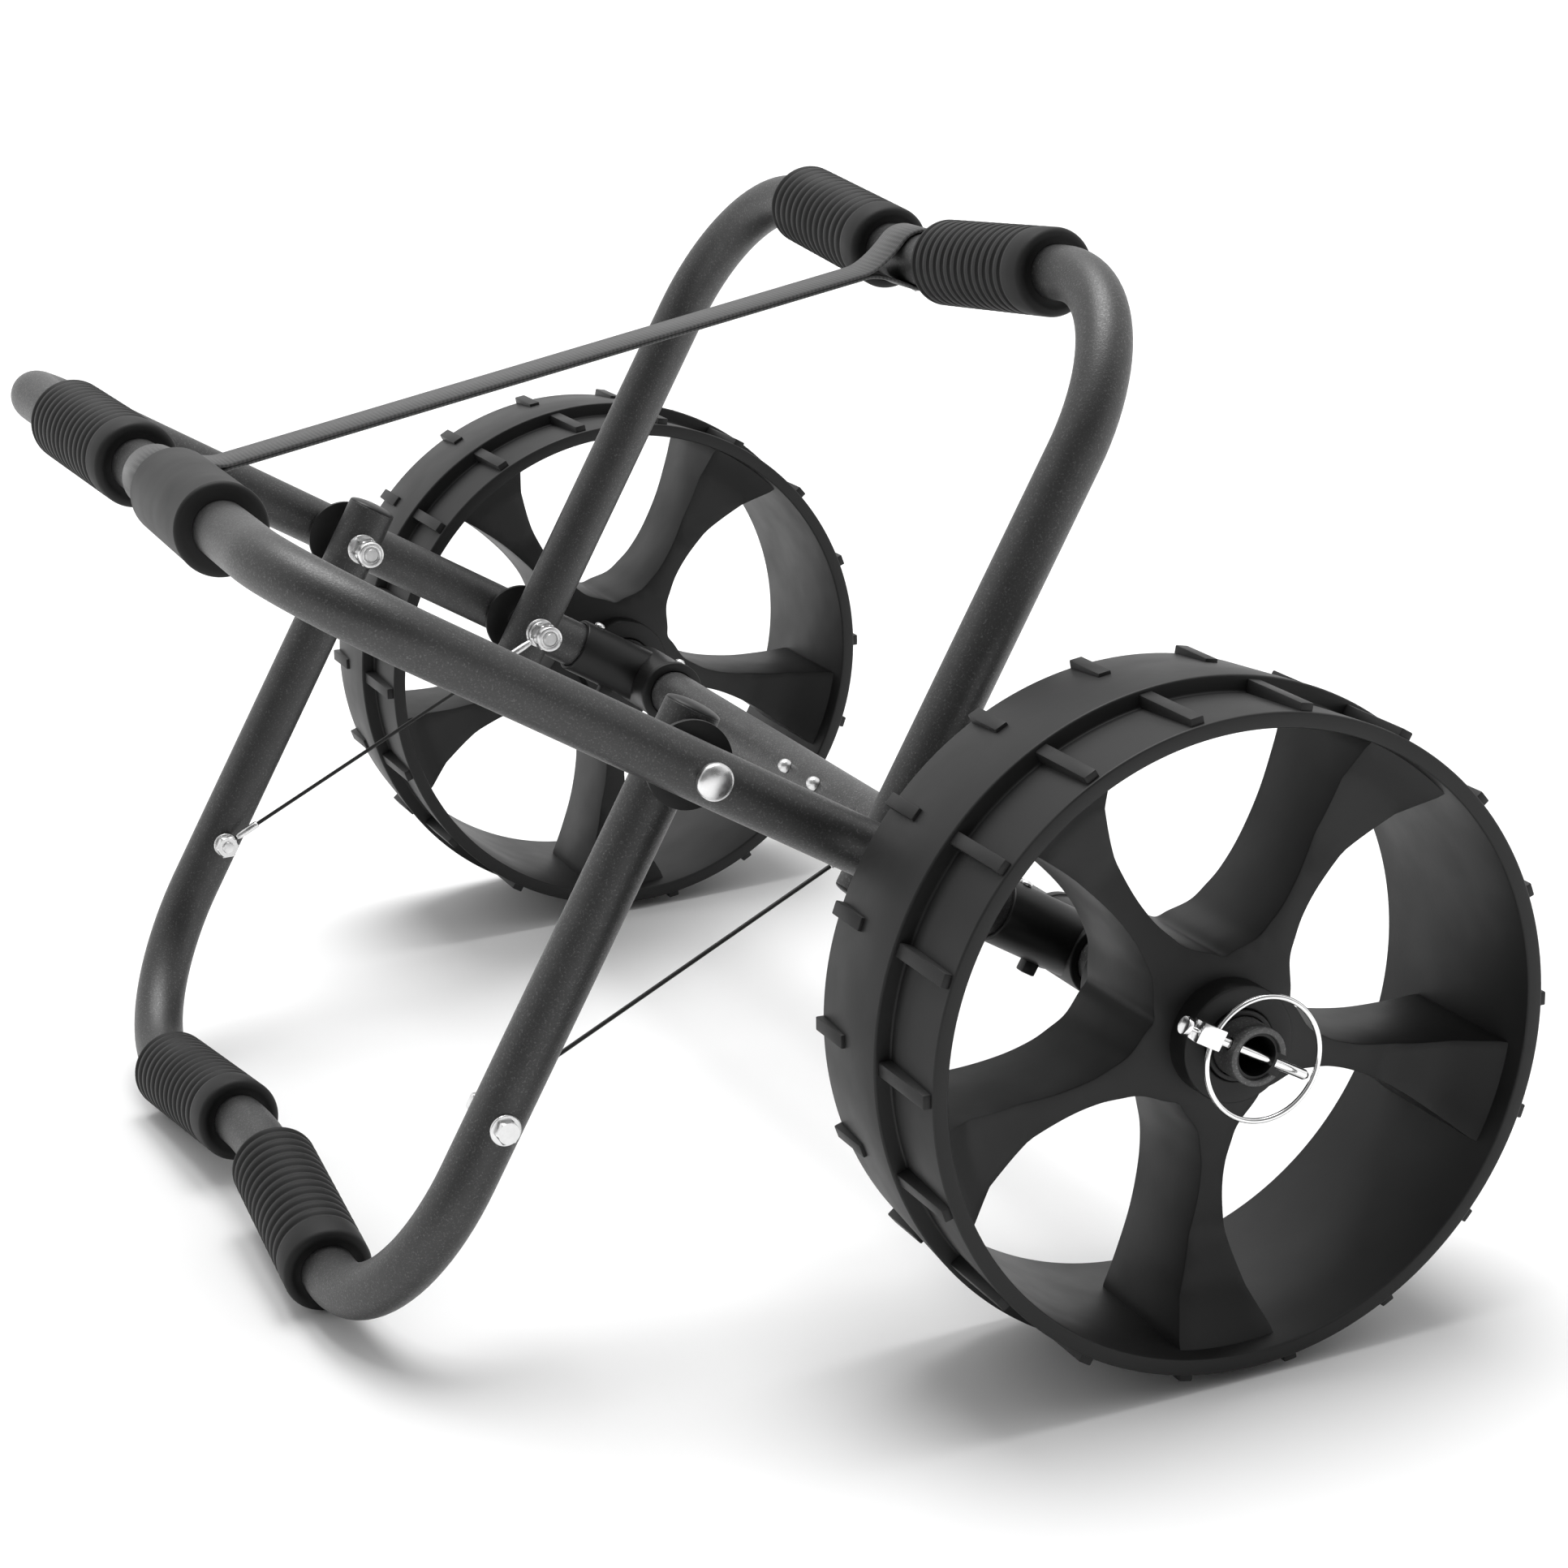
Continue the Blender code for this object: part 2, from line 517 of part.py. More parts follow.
def lock_pin(side, sign):
    """A pin with a square head through the axle's end, and its spring ring."""
    outward = Vector((0.0, sign, 0.0))
    centre = AXLE + outward * PIN_Y
    neck_profile = ((0.0, PIN_TIP), (0.0012, PIN_TIP), (PIN_R, PIN_TIP - 0.0020), (PIN_R, -0.0210),
                    (0.0, -0.0210))
    pin = turned(f"lock_pin_{side}", neck_profile, CHROME, steps=12)
    pin.matrix_world = along(centre, PIN_DIR, outward)
    low, high = PIN_BLOCK
    head = block(f"pin_head_{side}", (0.0080, 0.0090, high - low), (0.0, 0.0, (low + high) / 2))
    neck = cylinder(f"pin_neck_{side}", 0.0010, -0.0340, low + 0.001, steps=12)
    cap = cylinder(f"pin_cap_{side}", 0.0040, -0.0360, -0.0335, steps=16)
    for piece in (head, neck, cap):
        piece.matrix_world = pin.matrix_world.copy()
        combine(pin, piece, "UNION")
    hinge = (low + high) / 2
    across = outward.cross(PIN_DIR)
    half_block = 0.0045 + GAP
    opening = math.asin(half_block / RING_R) + 0.02
    points = []
    segments = 24
    for index in range(segments + 1):
        angle = math.pi + opening + (math.tau - 2 * opening) * index / segments
        reach = RING_R * math.cos(angle)
        tilt = RING_TILT * (reach - hinge) / (RING_R - hinge)
        points.append(centre + PIN_DIR * reach + across * RING_R * math.sin(angle) + outward * tilt)
    tube(f"lock_ring_{side}", points, RING_WIRE_R, CHROME, resolution=2)


def strap():
    """Webbing looped round the main frame's bar and the load arm's bar."""
    main_bar = bar_middle(*MAIN_BAR, MAIN_KINK)
    arm_bar = bar_middle(*ARM_BAR, FOLDING_KINK)
    course = (arm_bar - main_bar)
    span = course.length
    course.normalize()
    up = Vector((-course.z, 0.0, course.x))
    inner = TUBE_R + STRAP_EASE
    outer = inner + STRAP_THICK
    placement = along(main_bar, (0, -1, 0), course)
    band = outline("strap", [(outer * math.cos(a), outer * math.sin(a))
                             for a in (math.tau * i / 24 for i in range(24))], STRAP_HALF_WIDTH, WEBBING)
    band.matrix_world = placement
    other = cylinder("strap_arm_loop", outer, -STRAP_HALF_WIDTH, STRAP_HALF_WIDTH, steps=24)
    other.matrix_world = placement @ Matrix.Translation((span, 0.0, 0.0))
    combine(band, other, "UNION")
    run = block("strap_run", (span - 2 * inner, 2 * STRAP_THICK, 2 * STRAP_HALF_WIDTH), (0, 0, 0))
    run.matrix_world = placement @ Matrix.Translation((span / 2, 0.0, 0.0))
    combine(band, run, "UNION")
    for label, centre in (("main", main_bar), ("arm", arm_bar)):
        drill(band, f"strap_{label}_hole", inner, centre, (0, 1, 0), 0.03, steps=24)
    seat = arm_bar - up * (outer + GAP)
    head = ((0.0, 0.0022), (0.0022, 0.0018), (0.0034, 0.0006), (0.0034, 0.0), (0.0, 0.0))
    tack = turned("strap_tack", head, STEEL, steps=16)
    tack.matrix_world = along(seat, -up)


frames()
axle()
for side_name, side_sign in SIDES:
    axle_fitting(side_name, side_sign)
    pivot("arm", ARM_ORIGIN, side_name, side_sign)
    pivot("stand", STAND_ORIGIN, side_name, side_sign)
    wire_set(side_name, side_sign)
    wheel(side_name, side_sign)
    lock_pin(side_name, side_sign)
strap()
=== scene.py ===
"""Looks of the two-wheel folding trolley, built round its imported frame. Metres, +Z up."""

import json
import math

import bmesh
import bpy
from mathutils import Matrix, Vector
from mathutils.geometry import delaunay_2d_cdt, tessellate_polygon

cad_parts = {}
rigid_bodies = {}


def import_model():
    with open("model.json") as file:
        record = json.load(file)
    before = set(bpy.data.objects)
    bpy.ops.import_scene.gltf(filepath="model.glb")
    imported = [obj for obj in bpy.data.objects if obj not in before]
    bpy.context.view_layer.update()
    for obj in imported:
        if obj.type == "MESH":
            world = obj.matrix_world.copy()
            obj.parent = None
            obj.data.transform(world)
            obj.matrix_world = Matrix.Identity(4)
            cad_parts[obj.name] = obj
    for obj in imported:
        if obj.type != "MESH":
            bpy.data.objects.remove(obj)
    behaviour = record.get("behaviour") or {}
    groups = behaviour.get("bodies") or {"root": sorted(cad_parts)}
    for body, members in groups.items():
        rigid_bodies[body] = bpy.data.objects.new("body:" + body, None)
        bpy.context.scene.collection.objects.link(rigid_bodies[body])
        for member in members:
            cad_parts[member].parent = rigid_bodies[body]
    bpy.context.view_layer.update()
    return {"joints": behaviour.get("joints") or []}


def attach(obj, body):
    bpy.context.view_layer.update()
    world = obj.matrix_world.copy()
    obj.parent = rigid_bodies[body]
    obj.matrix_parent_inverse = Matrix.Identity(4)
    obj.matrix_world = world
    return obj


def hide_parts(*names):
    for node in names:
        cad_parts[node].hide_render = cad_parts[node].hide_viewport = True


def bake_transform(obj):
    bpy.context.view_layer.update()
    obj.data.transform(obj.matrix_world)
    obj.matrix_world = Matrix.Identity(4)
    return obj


for leftover in list(bpy.data.objects):
    bpy.data.objects.remove(leftover, do_unlink=True)
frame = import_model()

SIDES = (("near", -1.0), ("far", 1.0))
JOINTS = {joint["name"]: joint for joint in frame["joints"]}

TUBE_R = 0.0125
TUBE_BORE_R = 0.0110
AXLE_END_Y = 0.4115
AXLE_BORE_R = 0.0099
AXLE_PLUG_Y = (0.3700, 0.4098)
SLOT_SIZE = (0.0095, 0.010, 0.010)
POST_R = 0.0035
POST_Y = (0.008, 0.044)
POST_DIRECTION = Vector((-0.82, 0.0, 0.57)).normalized()

FITTING_BORE_R = TUBE_R + 0.0001
FITTING_BOSS_R = 0.0176
FITTING_NECK_R = 0.0166
FITTING_SLEEVE_R = 0.0148

MAIN_LEG_Y = 0.2632
MAIN_REACH = 0.4012
MAIN_DIP = 0.0175
MAIN_FILLET = 0.060
MAIN_KINK = 0.129
ARM_LEAN = math.radians(31.94)
ARM_LEG_Y = 0.2288
ARM_REACH = 0.2706
ARM_DIP = 0.0201
ARM_FILLET = 0.0754
STAND_DIP = 0.0247
STAND_FILLET = 0.080
FOLDING_KINK = 0.280
TAIL = 0.021
PLUG_R = TUBE_BORE_R - 0.0001
PLUG_DOME = 0.0030
PLUG_DEPTH = 0.0150
WIRE_BOLT_REACH = 0.1715

GRIP_R = 0.0202
MAIN_GRIPS = {"near": (0.031, 0.137), "far": (0.036, 0.147)}
ARM_GRIPS = {"near": (0.036, 0.141), "far": (0.027, 0.141)}
STAND_GRIPS = {"near": (0.032, 0.142), "far": (0.029, 0.142)}
GROOVES = 13
GROOVE_DEPTH = 0.0013
GRIP_COLLAR = 0.0125

WHEEL_Y = 0.350
WHEEL_HALF = 0.0525
LIP_R = 0.1400
CHANNEL_R = 0.1375
RIDGE_R = 0.1450
BAND_R = 0.1404
BAR_TOP_R = 0.1432
LUG_TOP_R = 0.1440
RIM_INNER_R = 0.1331
RIM_BACK_R = 0.1310
CHANNEL_WIDTH = 0.044
WEB_FRONT = 0.0090
WEB_DEPTH = 0.070
HUB_R = 0.0250
HUB_FRONT = 0.0070
HUB_BORE_R = 0.0152
BUSH_R = 0.0150
BUSH_BORE_R = 0.0128
BUSH_PROUD = 0.0015
TREAD_COUNT = 18
TREAD_PHASE = math.radians(-3.0)
TREAD_WIDTH = 0.0060
BAR_ROOT_R = 0.1360
LUG_ROOT_R = 0.1380
LUG_LENGTH = 0.0260
SPOKES = 5
OPENING_PHASE = math.radians(14.6)
WINDOW = ((0.0336, 0.0), (0.0360, 9.3), (0.0420, 22.5), (0.0500, 27.6), (0.0600, 30.6),
          (0.0750, 31.3), (0.0950, 30.1), (0.1150, 28.0), (0.1302, 26.4))
DISH = ((0.0, 0.0100), (0.0280, 0.0105), (0.0450, 0.0140), (0.0650, 0.0173), (0.0900, 0.0205),
        (0.1150, 0.0143))
DISH_STEP = 0.006

PIN_Y = 0.4060
PIN_R = 0.0022
PIN_BLOCK = (-0.0295, -0.0175)
PIN_BLOCK_SIDES = (0.0080, 0.0090)
PIN_SHANK_END = -0.0210
PIN_NECK_R = 0.0010
PIN_CAP = (-0.0335, -0.0360)
PIN_CAP_R = 0.0040
PIN_TIP = 0.0290
RING_R = 0.0260
RING_WIRE_R = 0.00115
RING_TILT = 0.0082
RING_SHIFT = 0.0028
RING_GAP = 0.0039
SPACER_R = 0.0205
SPACER_Y = (0.2416, 0.2580)
SPACER_PLATE_Y = (0.2476, 0.2500)
SPACER_HUB_R = 0.0085
SPACER_WALL = 0.0022
SPACER_RIBS = 12
PIVOT_BOLT_R = 0.0040
BOLT_HEAD_R = 0.0080
THREAD_TURNS = 11
THREAD_PITCH = 0.0010
WASHER_R = 0.0078
NUT_R = 0.0074
NUT_HEIGHT = 0.0072
NUT_COLLAR_R = 0.0068
NUT_COLLAR_END = 0.0125
WIRE_BOLT_R = 0.0030
WIRE_BOLT_FLANGE_R = 0.0071
WIRE_EYE_R = 0.0062
ARM_EYE_R = 0.0072
EYE_HALF = 0.0008
WIRE_Y = 0.2120
WIRE_R = 0.0010
STRAP_HALF_WIDTH = 0.0125
STRAP_THICK = 0.0016
STRAP_EASE = 0.0008
STRAP_NECK = 0.030

AXLE = Vector(JOINTS["wheel_near_spin"]["pos_m"]) * Vector((1.0, 0.0, 1.0))
ARM_ORIGIN = Vector(JOINTS["load_arm_fold"]["pos_m"])
STAND_ORIGIN = Vector(JOINTS["stand_fold"]["pos_m"])
PIN_DIR = -Vector(JOINTS["lock_pin_near_pull"]["axis"]).normalized()
MAIN_DIR = (STAND_ORIGIN - AXLE).normalized()
MAIN_UP = Vector((MAIN_DIR.z, 0.0, -MAIN_DIR.x))
ARM_DIR = Vector((math.sin(ARM_LEAN), 0.0, math.cos(ARM_LEAN)))
STAND_DIR = -ARM_DIR
WIRE_BOLT = STAND_ORIGIN + STAND_DIR * WIRE_BOLT_REACH
Y = Vector((0.0, 1.0, 0.0))


def stand_reach():
    """The stand's length that puts its grips on the ground with the wheels."""
    outer = STAND_GRIPS["near"][1]
    slope = math.atan2(STAND_DIP, ARM_LEG_Y)
    low = GRIP_R * math.sqrt(1 - (math.sin(slope) * STAND_DIR.z) ** 2)
    return (STAND_ORIGIN.z - low) / -STAND_DIR.z + STAND_DIP * (1 - outer / ARM_LEG_Y)


STAND_REACH = stand_reach()
MAIN_BAR = (AXLE, MAIN_DIR, MAIN_LEG_Y, MAIN_REACH, MAIN_DIP)
ARM_BAR = (ARM_ORIGIN, ARM_DIR, ARM_LEG_Y, ARM_REACH, ARM_DIP)
STAND_BAR = (STAND_ORIGIN, STAND_DIR, ARM_LEG_Y, STAND_REACH, STAND_DIP)


# ---------------------------------------------------------------- materials

MIX_SOCKETS = (0, 6, 7)
MIX_RESULT = 2
POWDER_GRAIN = 1100.0
POWDER_MOTTLE = 140.0
PLASTIC_GRAIN = 600.0
RUBBER_GRAIN = 900.0
CABLE_GRAIN = 1500.0
FLOW_MARKS = 28.0
PLATE_CLOUD = 220.0
WEAVE_ACROSS = 160.0
WEAVE_ALONG = 210.0


class Nodes:
    """A material's node tree with its Principled shader, and short ways to add nodes to it."""

    def __init__(self, name, roughness, metallic=0.0, **inputs):
        self.material = bpy.data.materials.new(name)
        self.material.use_nodes = True
        self.tree = self.material.node_tree
        self.shader = self.tree.nodes["Principled BSDF"]
        self.shader.inputs["Roughness"].default_value = roughness
        self.shader.inputs["Metallic"].default_value = metallic
        for key, value in inputs.items():
            self.shader.inputs[key.replace("_", " ")].default_value = value
        self.place = self.add("ShaderNodeTexCoord").outputs["Object"]

    def add(self, kind, **values):
        node = self.tree.nodes.new(kind)
        for key, value in values.items():
            if key in node.inputs:
                node.inputs[key].default_value = value
            else:
                setattr(node, key, value)
        return node

    def link(self, source, target):
        self.tree.links.new(source, target)

    def noise(self, scale, detail=3.0, roughness=0.6):
        node = self.add("ShaderNodeTexNoise", Scale=scale, Detail=detail, Roughness=roughness)
        self.link(self.place, node.inputs["Vector"])
        return node.outputs["Fac"]

    def ramp(self, factor, *stops):
        """A grey ramp between two stops of (position, value)."""
        node = self.add("ShaderNodeValToRGB")
        for element, (position, colour) in zip(node.color_ramp.elements, stops):
            element.position = position
            element.color = (colour, colour, colour, 1.0)
        self.link(factor, node.inputs["Fac"])
        return node.outputs["Color"]

    def sum(self, first, second):
        """The sum of two colours."""
        node = self.add("ShaderNodeMix", data_type="RGBA", blend_type="ADD")
        factor, first_colour, second_colour = (node.inputs[i] for i in MIX_SOCKETS)
        factor.default_value = 1.0
        self.link(first, first_colour)
        self.link(second, second_colour)
        return node.outputs[MIX_RESULT]

    def maths(self, operation, first, second):
        node = self.add("ShaderNodeMath", operation=operation)
        for socket, value in zip(node.inputs, (first, second)):
            if hasattr(value, "is_output"):
                self.link(value, socket)
            else:
                socket.default_value = value
        return node.outputs[0]

    def bump(self, height, strength, distance):
        node = self.add("ShaderNodeBump", Strength=strength, Distance=distance)
        self.link(height, node.inputs["Height"])
        self.link(node.outputs["Normal"], self.shader.inputs["Normal"])

    def colour(self, socket):
        self.link(socket, self.shader.inputs["Base Color"])

    def roughness(self, socket):
        self.link(socket, self.shader.inputs["Roughness"])


# Noise scales are in cells per metre, and bump distances in metres.

def powder_coat(name, dark, light, fleck):
    """Textured powder coat: a fine grain with pale flecks and a slow mottling under it."""
    m = Nodes(name, 0.40, Specular_IOR_Level=0.75)
    grain = m.noise(POWDER_GRAIN, 2.0, 0.7)
    mottle = m.noise(POWDER_MOTTLE, 4.0, 0.6)
    base = m.ramp(mottle, (0.30, dark), (0.72, light))
    flecks = m.ramp(grain, (0.56, 0.0), (0.72, fleck))
    m.colour(m.sum(base, flecks))
    m.roughness(m.ramp(grain, (0.3, 0.52), (0.75, 0.36)))
    m.bump(grain, 0.35, 0.0003)
    return m.material


def moulded(name, dark, light, roughness, grain_scale=PLASTIC_GRAIN, strength=0.12):
    """Moulded plastic or rubber: nearly even, with a fine matt grain and faint flow marks."""
    m = Nodes(name, roughness, Specular_IOR_Level=0.35)
    flow = m.noise(FLOW_MARKS, 3.0, 0.5)
    grain = m.noise(grain_scale, 2.0, 0.6)
    m.colour(m.ramp(flow, (0.30, dark), (0.70, light)))
    m.roughness(m.ramp(flow, (0.3, roughness - 0.05), (0.7, roughness + 0.07)))
    m.bump(grain, strength, 0.0002)
    return m.material


def plated(name, dark, light, roughness):
    """Zinc or chrome plate, with a faint cloudiness and a fine unevenness."""
    m = Nodes(name, roughness, metallic=1.0)
    cloud = m.noise(PLATE_CLOUD, 4.0, 0.6)
    m.colour(m.ramp(cloud, (0.30, dark), (0.70, light)))
    m.roughness(m.ramp(cloud, (0.3, roughness * 0.8), (0.7, roughness * 1.3)))
    m.bump(m.noise(PLATE_CLOUD * 6, 2.0), 0.06, 0.0001)
    return m.material


def webbing(name, dark, light):
    """Woven webbing: ribs across its width and a finer weave along it."""
    m = Nodes(name, 0.85, Sheen_Weight=0.25, Sheen_Roughness=0.5)
    ribs = m.add("ShaderNodeTexWave", wave_type="BANDS", bands_direction="X", Scale=WEAVE_ACROSS)
    rows = m.add("ShaderNodeTexWave", wave_type="BANDS", bands_direction="Y", Scale=WEAVE_ALONG)
    for wave in (ribs, rows):
        wave.inputs["Distortion"].default_value = 0.4
        m.link(m.place, wave.inputs["Vector"])
    weave = m.maths("MULTIPLY", ribs.outputs["Fac"], rows.outputs["Fac"])
    fuzz = m.noise(900.0, 3.0, 0.7)
    shade = m.maths("ADD", m.maths("MULTIPLY", weave, 0.6), m.maths("MULTIPLY", fuzz, 0.4))
    m.colour(m.ramp(shade, (0.15, dark), (0.75, light)))
    m.bump(weave, 0.5, 0.0003)
    return m.material


POWDER = powder_coat("powder_coat", 0.010, 0.018, 0.07)
AXLE_PAINT = powder_coat("axle_powder_coat", 0.035, 0.055, 0.14)
GRIP_RUBBER = moulded("grip_rubber", 0.005, 0.008, 0.60, RUBBER_GRAIN, 0.10)
WHEEL_PLASTIC = moulded("wheel_plastic", 0.009, 0.013, 0.50)
FITTING_PLASTIC = moulded("fitting_plastic", 0.005, 0.009, 0.42)
STEEL = plated("bolt_steel", 0.72, 0.86, 0.30)
CHROME = plated("pin_chrome", 0.88, 0.95, 0.14)
WEBBING = webbing("strap_webbing", 0.045, 0.100)
CABLE = moulded("wire_coating", 0.010, 0.018, 0.40, CABLE_GRAIN, 0.3)


# ---------------------------------------------------------------- mesh tools

def along(origin, direction, roll=None):
    """A placement whose local Z runs along a direction; roll gives what its local X follows."""
    z = Vector(direction).normalized()
    if roll is None:
        turn = z.to_track_quat("Z", "Y").to_matrix()
    else:
        x = (Vector(roll) - z * Vector(roll).dot(z)).normalized()
        turn = Matrix((x, z.cross(x), z)).transposed()
    return Matrix.Translation(origin) @ turn.to_4x4()


def round_corner(before, corner, after, radius, segments):
    """Points along the arc that replaces a corner."""
    back, ahead = (before - corner).normalized(), (after - corner).normalized()
    half = back.angle(ahead) / 2
    middle = (back + ahead).normalized()
    centre = corner + middle * (radius / math.sin(half))
    turn = math.pi / 2 - half
    side = (ahead - back).normalized()
    angles = [turn * (2 * i / segments - 1) for i in range(segments + 1)]
    return [centre - middle * radius * math.cos(a) + side * radius * math.sin(a) for a in angles]


def soften(profile, radius, closed=False, segments=3):
    """A profile with each corner rounded, less where its sides are short."""
    points = [Vector((r, z)) for r, z in profile]
    count = len(points)
    made = []
    for i, corner in enumerate(points):
        if not closed and i in (0, count - 1):
            made.append(corner)
            continue
        before, after = points[i - 1], points[(i + 1) % count]
        sides = (before - corner).length, (after - corner).length
        angle = (before - corner).angle(after - corner)
        if min(sides) < 1e-7 or angle > math.radians(172):
            made.append(corner)
            continue
        fit = min(radius, 0.45 * min(sides) * math.tan(angle / 2))
        made += round_corner(before, corner, after, fit, segments)
    return [(p.x, p.y) for p in made]


SHARP = 38.0


class Shape:
    """A piece under construction: closed forms added to one mesh."""

    def __init__(self):
        self.mesh = bmesh.new()

    def add(self, points, faces, material=0):
        made = [self.mesh.verts.new(p) for p in points]
        for face in faces:
            self.mesh.faces.new([made[i] for i in face]).material_index = material
        return self

    def merge(self, other, place=None, material=0):
        """Adds another bmesh's form and frees it."""
        if place:
            other.transform(place)
        other.verts.index_update()
        points = [v.co.copy() for v in other.verts]
        faces = [[v.index for v in f.verts] for f in other.faces]
        other.free()
        return self.add(points, faces, material)

    def lathe(self, profile, place, steps=48, closed=False, material=0):
        """A profile of (radius, height) turned about local Z, from the top down its outside."""
        form = bmesh.new()
        rings = []
        for radius, height in profile:
            if radius < 1e-9:
                rings.append([form.verts.new((0.0, 0.0, height))] * steps)
                continue
            turns = [math.tau * i / steps for i in range(steps)]
            rings.append([form.verts.new((radius * math.cos(t), radius * math.sin(t), height))
                          for t in turns])
        for upper, lower in zip(rings, rings[1:] + rings[:1] if closed else rings[1:]):
            for i in range(steps):
                j = (i + 1) % steps
                corners = [upper[i], lower[i], lower[j], upper[j]]
                unique = [v for k, v in enumerate(corners) if v not in corners[:k]]
                if len(unique) > 2:
                    form.faces.new(unique)
        return self.merge(form, place, material)

    def box(self, size, centre, place, edge, segments=2):
        """A box with rounded edges."""
        form = bmesh.new()
        bmesh.ops.create_cube(form, size=1.0)
        form.transform(Matrix.Translation(centre) @ Matrix.Diagonal((*size, 1.0)))
        bmesh.ops.bevel(form, geom=form.edges[:], offset=edge, segments=segments,
                        affect="EDGES", profile=0.5)
        return self.merge(form, place)

    def hexagon(self, radius, low, high, place, edge=0.0004, hole=0.0):
        """A six-sided bar with chamfered rims and, where one is asked for, a round hole."""
        form = bmesh.new()
        sides, steps = 6, 48
        apothem = radius * math.cos(math.pi / sides)

        def flat(i, limit):
            turn = math.tau * i / steps
            from_flat = (turn % (math.tau / sides)) - math.pi / sides
            return min(apothem / math.cos(from_flat), limit)

        rims = ((apothem * 0.97, high), (radius, high - edge * 1.6), (radius, low + edge * 1.6),
                (apothem * 0.97, low), (hole, low), (hole, high))
        rings = []
        for limit, height in rims:
            rings.append([form.verts.new((flat(i, limit) * math.cos(math.tau * i / steps),
                                          flat(i, limit) * math.sin(math.tau * i / steps), height))
                          for i in range(steps)])
        for upper, lower in zip(rings, rings[1:] + rings[:1]):
            for i in range(steps):
                j = (i + 1) % steps
                form.faces.new((upper[i], lower[i], lower[j], upper[j]))
        return self.merge(form, place)

    def sweep(self, route, radius, sides, bore=0.0, depth=0.0):
        """A round bar along a route; a bore gives it open ends that deep."""
        form = bmesh.new()
        normal = None
        stations = []
        for i, point in enumerate(route):
            tangent = (route[min(i + 1, len(route) - 1)] - route[max(i - 1, 0)]).normalized()
            if normal is None:
                normal = tangent.orthogonal().normalized()
            normal = (normal - tangent * normal.dot(tangent)).normalized()
            stations.append((point, tangent, normal.copy(), tangent.cross(normal)))

        def ring(at, size, shift=0.0):
            point, tangent, one, other = at
            return [form.verts.new(point + tangent * shift + one * size * math.cos(math.tau * k / sides)
                                   + other * size * math.sin(math.tau * k / sides)) for k in range(sides)]

        rings = [ring(at, radius) for at in stations]
        if bore:
            edge = min(0.0003, (radius - bore) / 3)
            first, last = stations[0], stations[-1]
            rings = ([ring(first, bore, depth), ring(first, bore, edge), ring(first, bore + edge),
                      ring(first, radius - edge)] + [ring(first, radius, edge)] + rings[1:-1]
                     + [ring(last, radius, -edge), ring(last, radius - edge),
                        ring(last, bore + edge), ring(last, bore, -edge), ring(last, bore, -depth)])
        for lower, upper in zip(rings, rings[1:]):
            for i in range(sides):
                j = (i + 1) % sides
                form.faces.new((lower[i], lower[j], upper[j], upper[i]))
        form.faces.new(list(reversed(rings[0])))
        form.faces.new(rings[-1])
        orphans = [v for v in form.verts if not v.link_faces]
        bmesh.ops.delete(form, geom=orphans, context="VERTS")
        return self.merge(form)

    def piece(self, name, materials, slot, replaces=(), body=None, sharp=SHARP):
        """Finishes the piece: shading, materials, the body it rides on and what it stands for."""
        mesh = bpy.data.meshes.new(name)
        bmesh.ops.recalc_face_normals(self.mesh, faces=self.mesh.faces)
        self.mesh.to_mesh(mesh)
        self.mesh.free()
        for material in materials if isinstance(materials, (list, tuple)) else [materials]:
            mesh.materials.append(material)
        mesh.shade_smooth()
        mesh.set_sharp_from_angle(angle=math.radians(sharp))
        obj = bpy.data.objects.new(name, mesh)
        bpy.context.scene.collection.objects.link(obj)
        if replaces:
            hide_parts(*replaces)
        if body:
            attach(obj, body)
        return obj


# ---------------------------------------------------------------- frames and grips

def u_route(origin, direction, leg_y, reach, dip, fillet, kink, start):
    """The centre line of a U-shaped tube, from its far leg's end to its near leg's end."""
    def at(along_leg, y):
        return origin + direction * along_leg + Y * y

    far_end, near_end = at(start, leg_y), at(start, -leg_y)
    far_corner, near_corner, middle = at(reach, leg_y), at(reach, -leg_y), at(reach - dip, 0.0)
    return [far_end, at(start + 0.03, leg_y),
            *round_corner(far_end, far_corner, middle, fillet, 24),
            *round_corner(far_corner, middle, near_corner, kink, 8),
            *round_corner(middle, near_corner, near_end, fillet, 24),
            at(start + 0.03, -leg_y), near_end]


def u_frame(name, route, body):
    Shape().sweep(route, TUBE_R, 40, TUBE_BORE_R, 0.028).piece(
        name + "_skin", POWDER, "powder_coat", [name], body)


def plugs(label, origin, direction, body):
    """A shallow domed plug in each end of a tube."""
    for side, sign in SIDES:
        seat = origin - direction * TAIL + Y * (sign * ARM_LEG_Y)
        dome = [(TUBE_R * math.sin(t), PLUG_DOME * math.cos(t)) for t in (i * 0.19 for i in range(8))]
        inner = PLUG_R - 0.0019
        rim = [(TUBE_R - 0.0001, 0.0001), (PLUG_R, 0.0), (PLUG_R, -PLUG_DEPTH),
               (inner, -PLUG_DEPTH), (inner, -0.0020), (0.0, -0.0020)]
        Shape().lathe(dome + rim, along(seat, -direction), 48).piece(
            f"{label}_plug_{side}", FITTING_PLASTIC, "fitting_plastic", (), body)


def bar_point(origin, direction, leg_y, reach, dip, y):
    return origin + direction * (reach - dip + dip * abs(y) / leg_y) + Y * y


def bar_middle(origin, direction, leg_y, reach, dip, kink):
    rounding = kink * (1 / math.cos(math.atan2(dip, leg_y)) - 1)
    return origin + direction * (reach - dip + rounding + STRAP_EASE / 4)


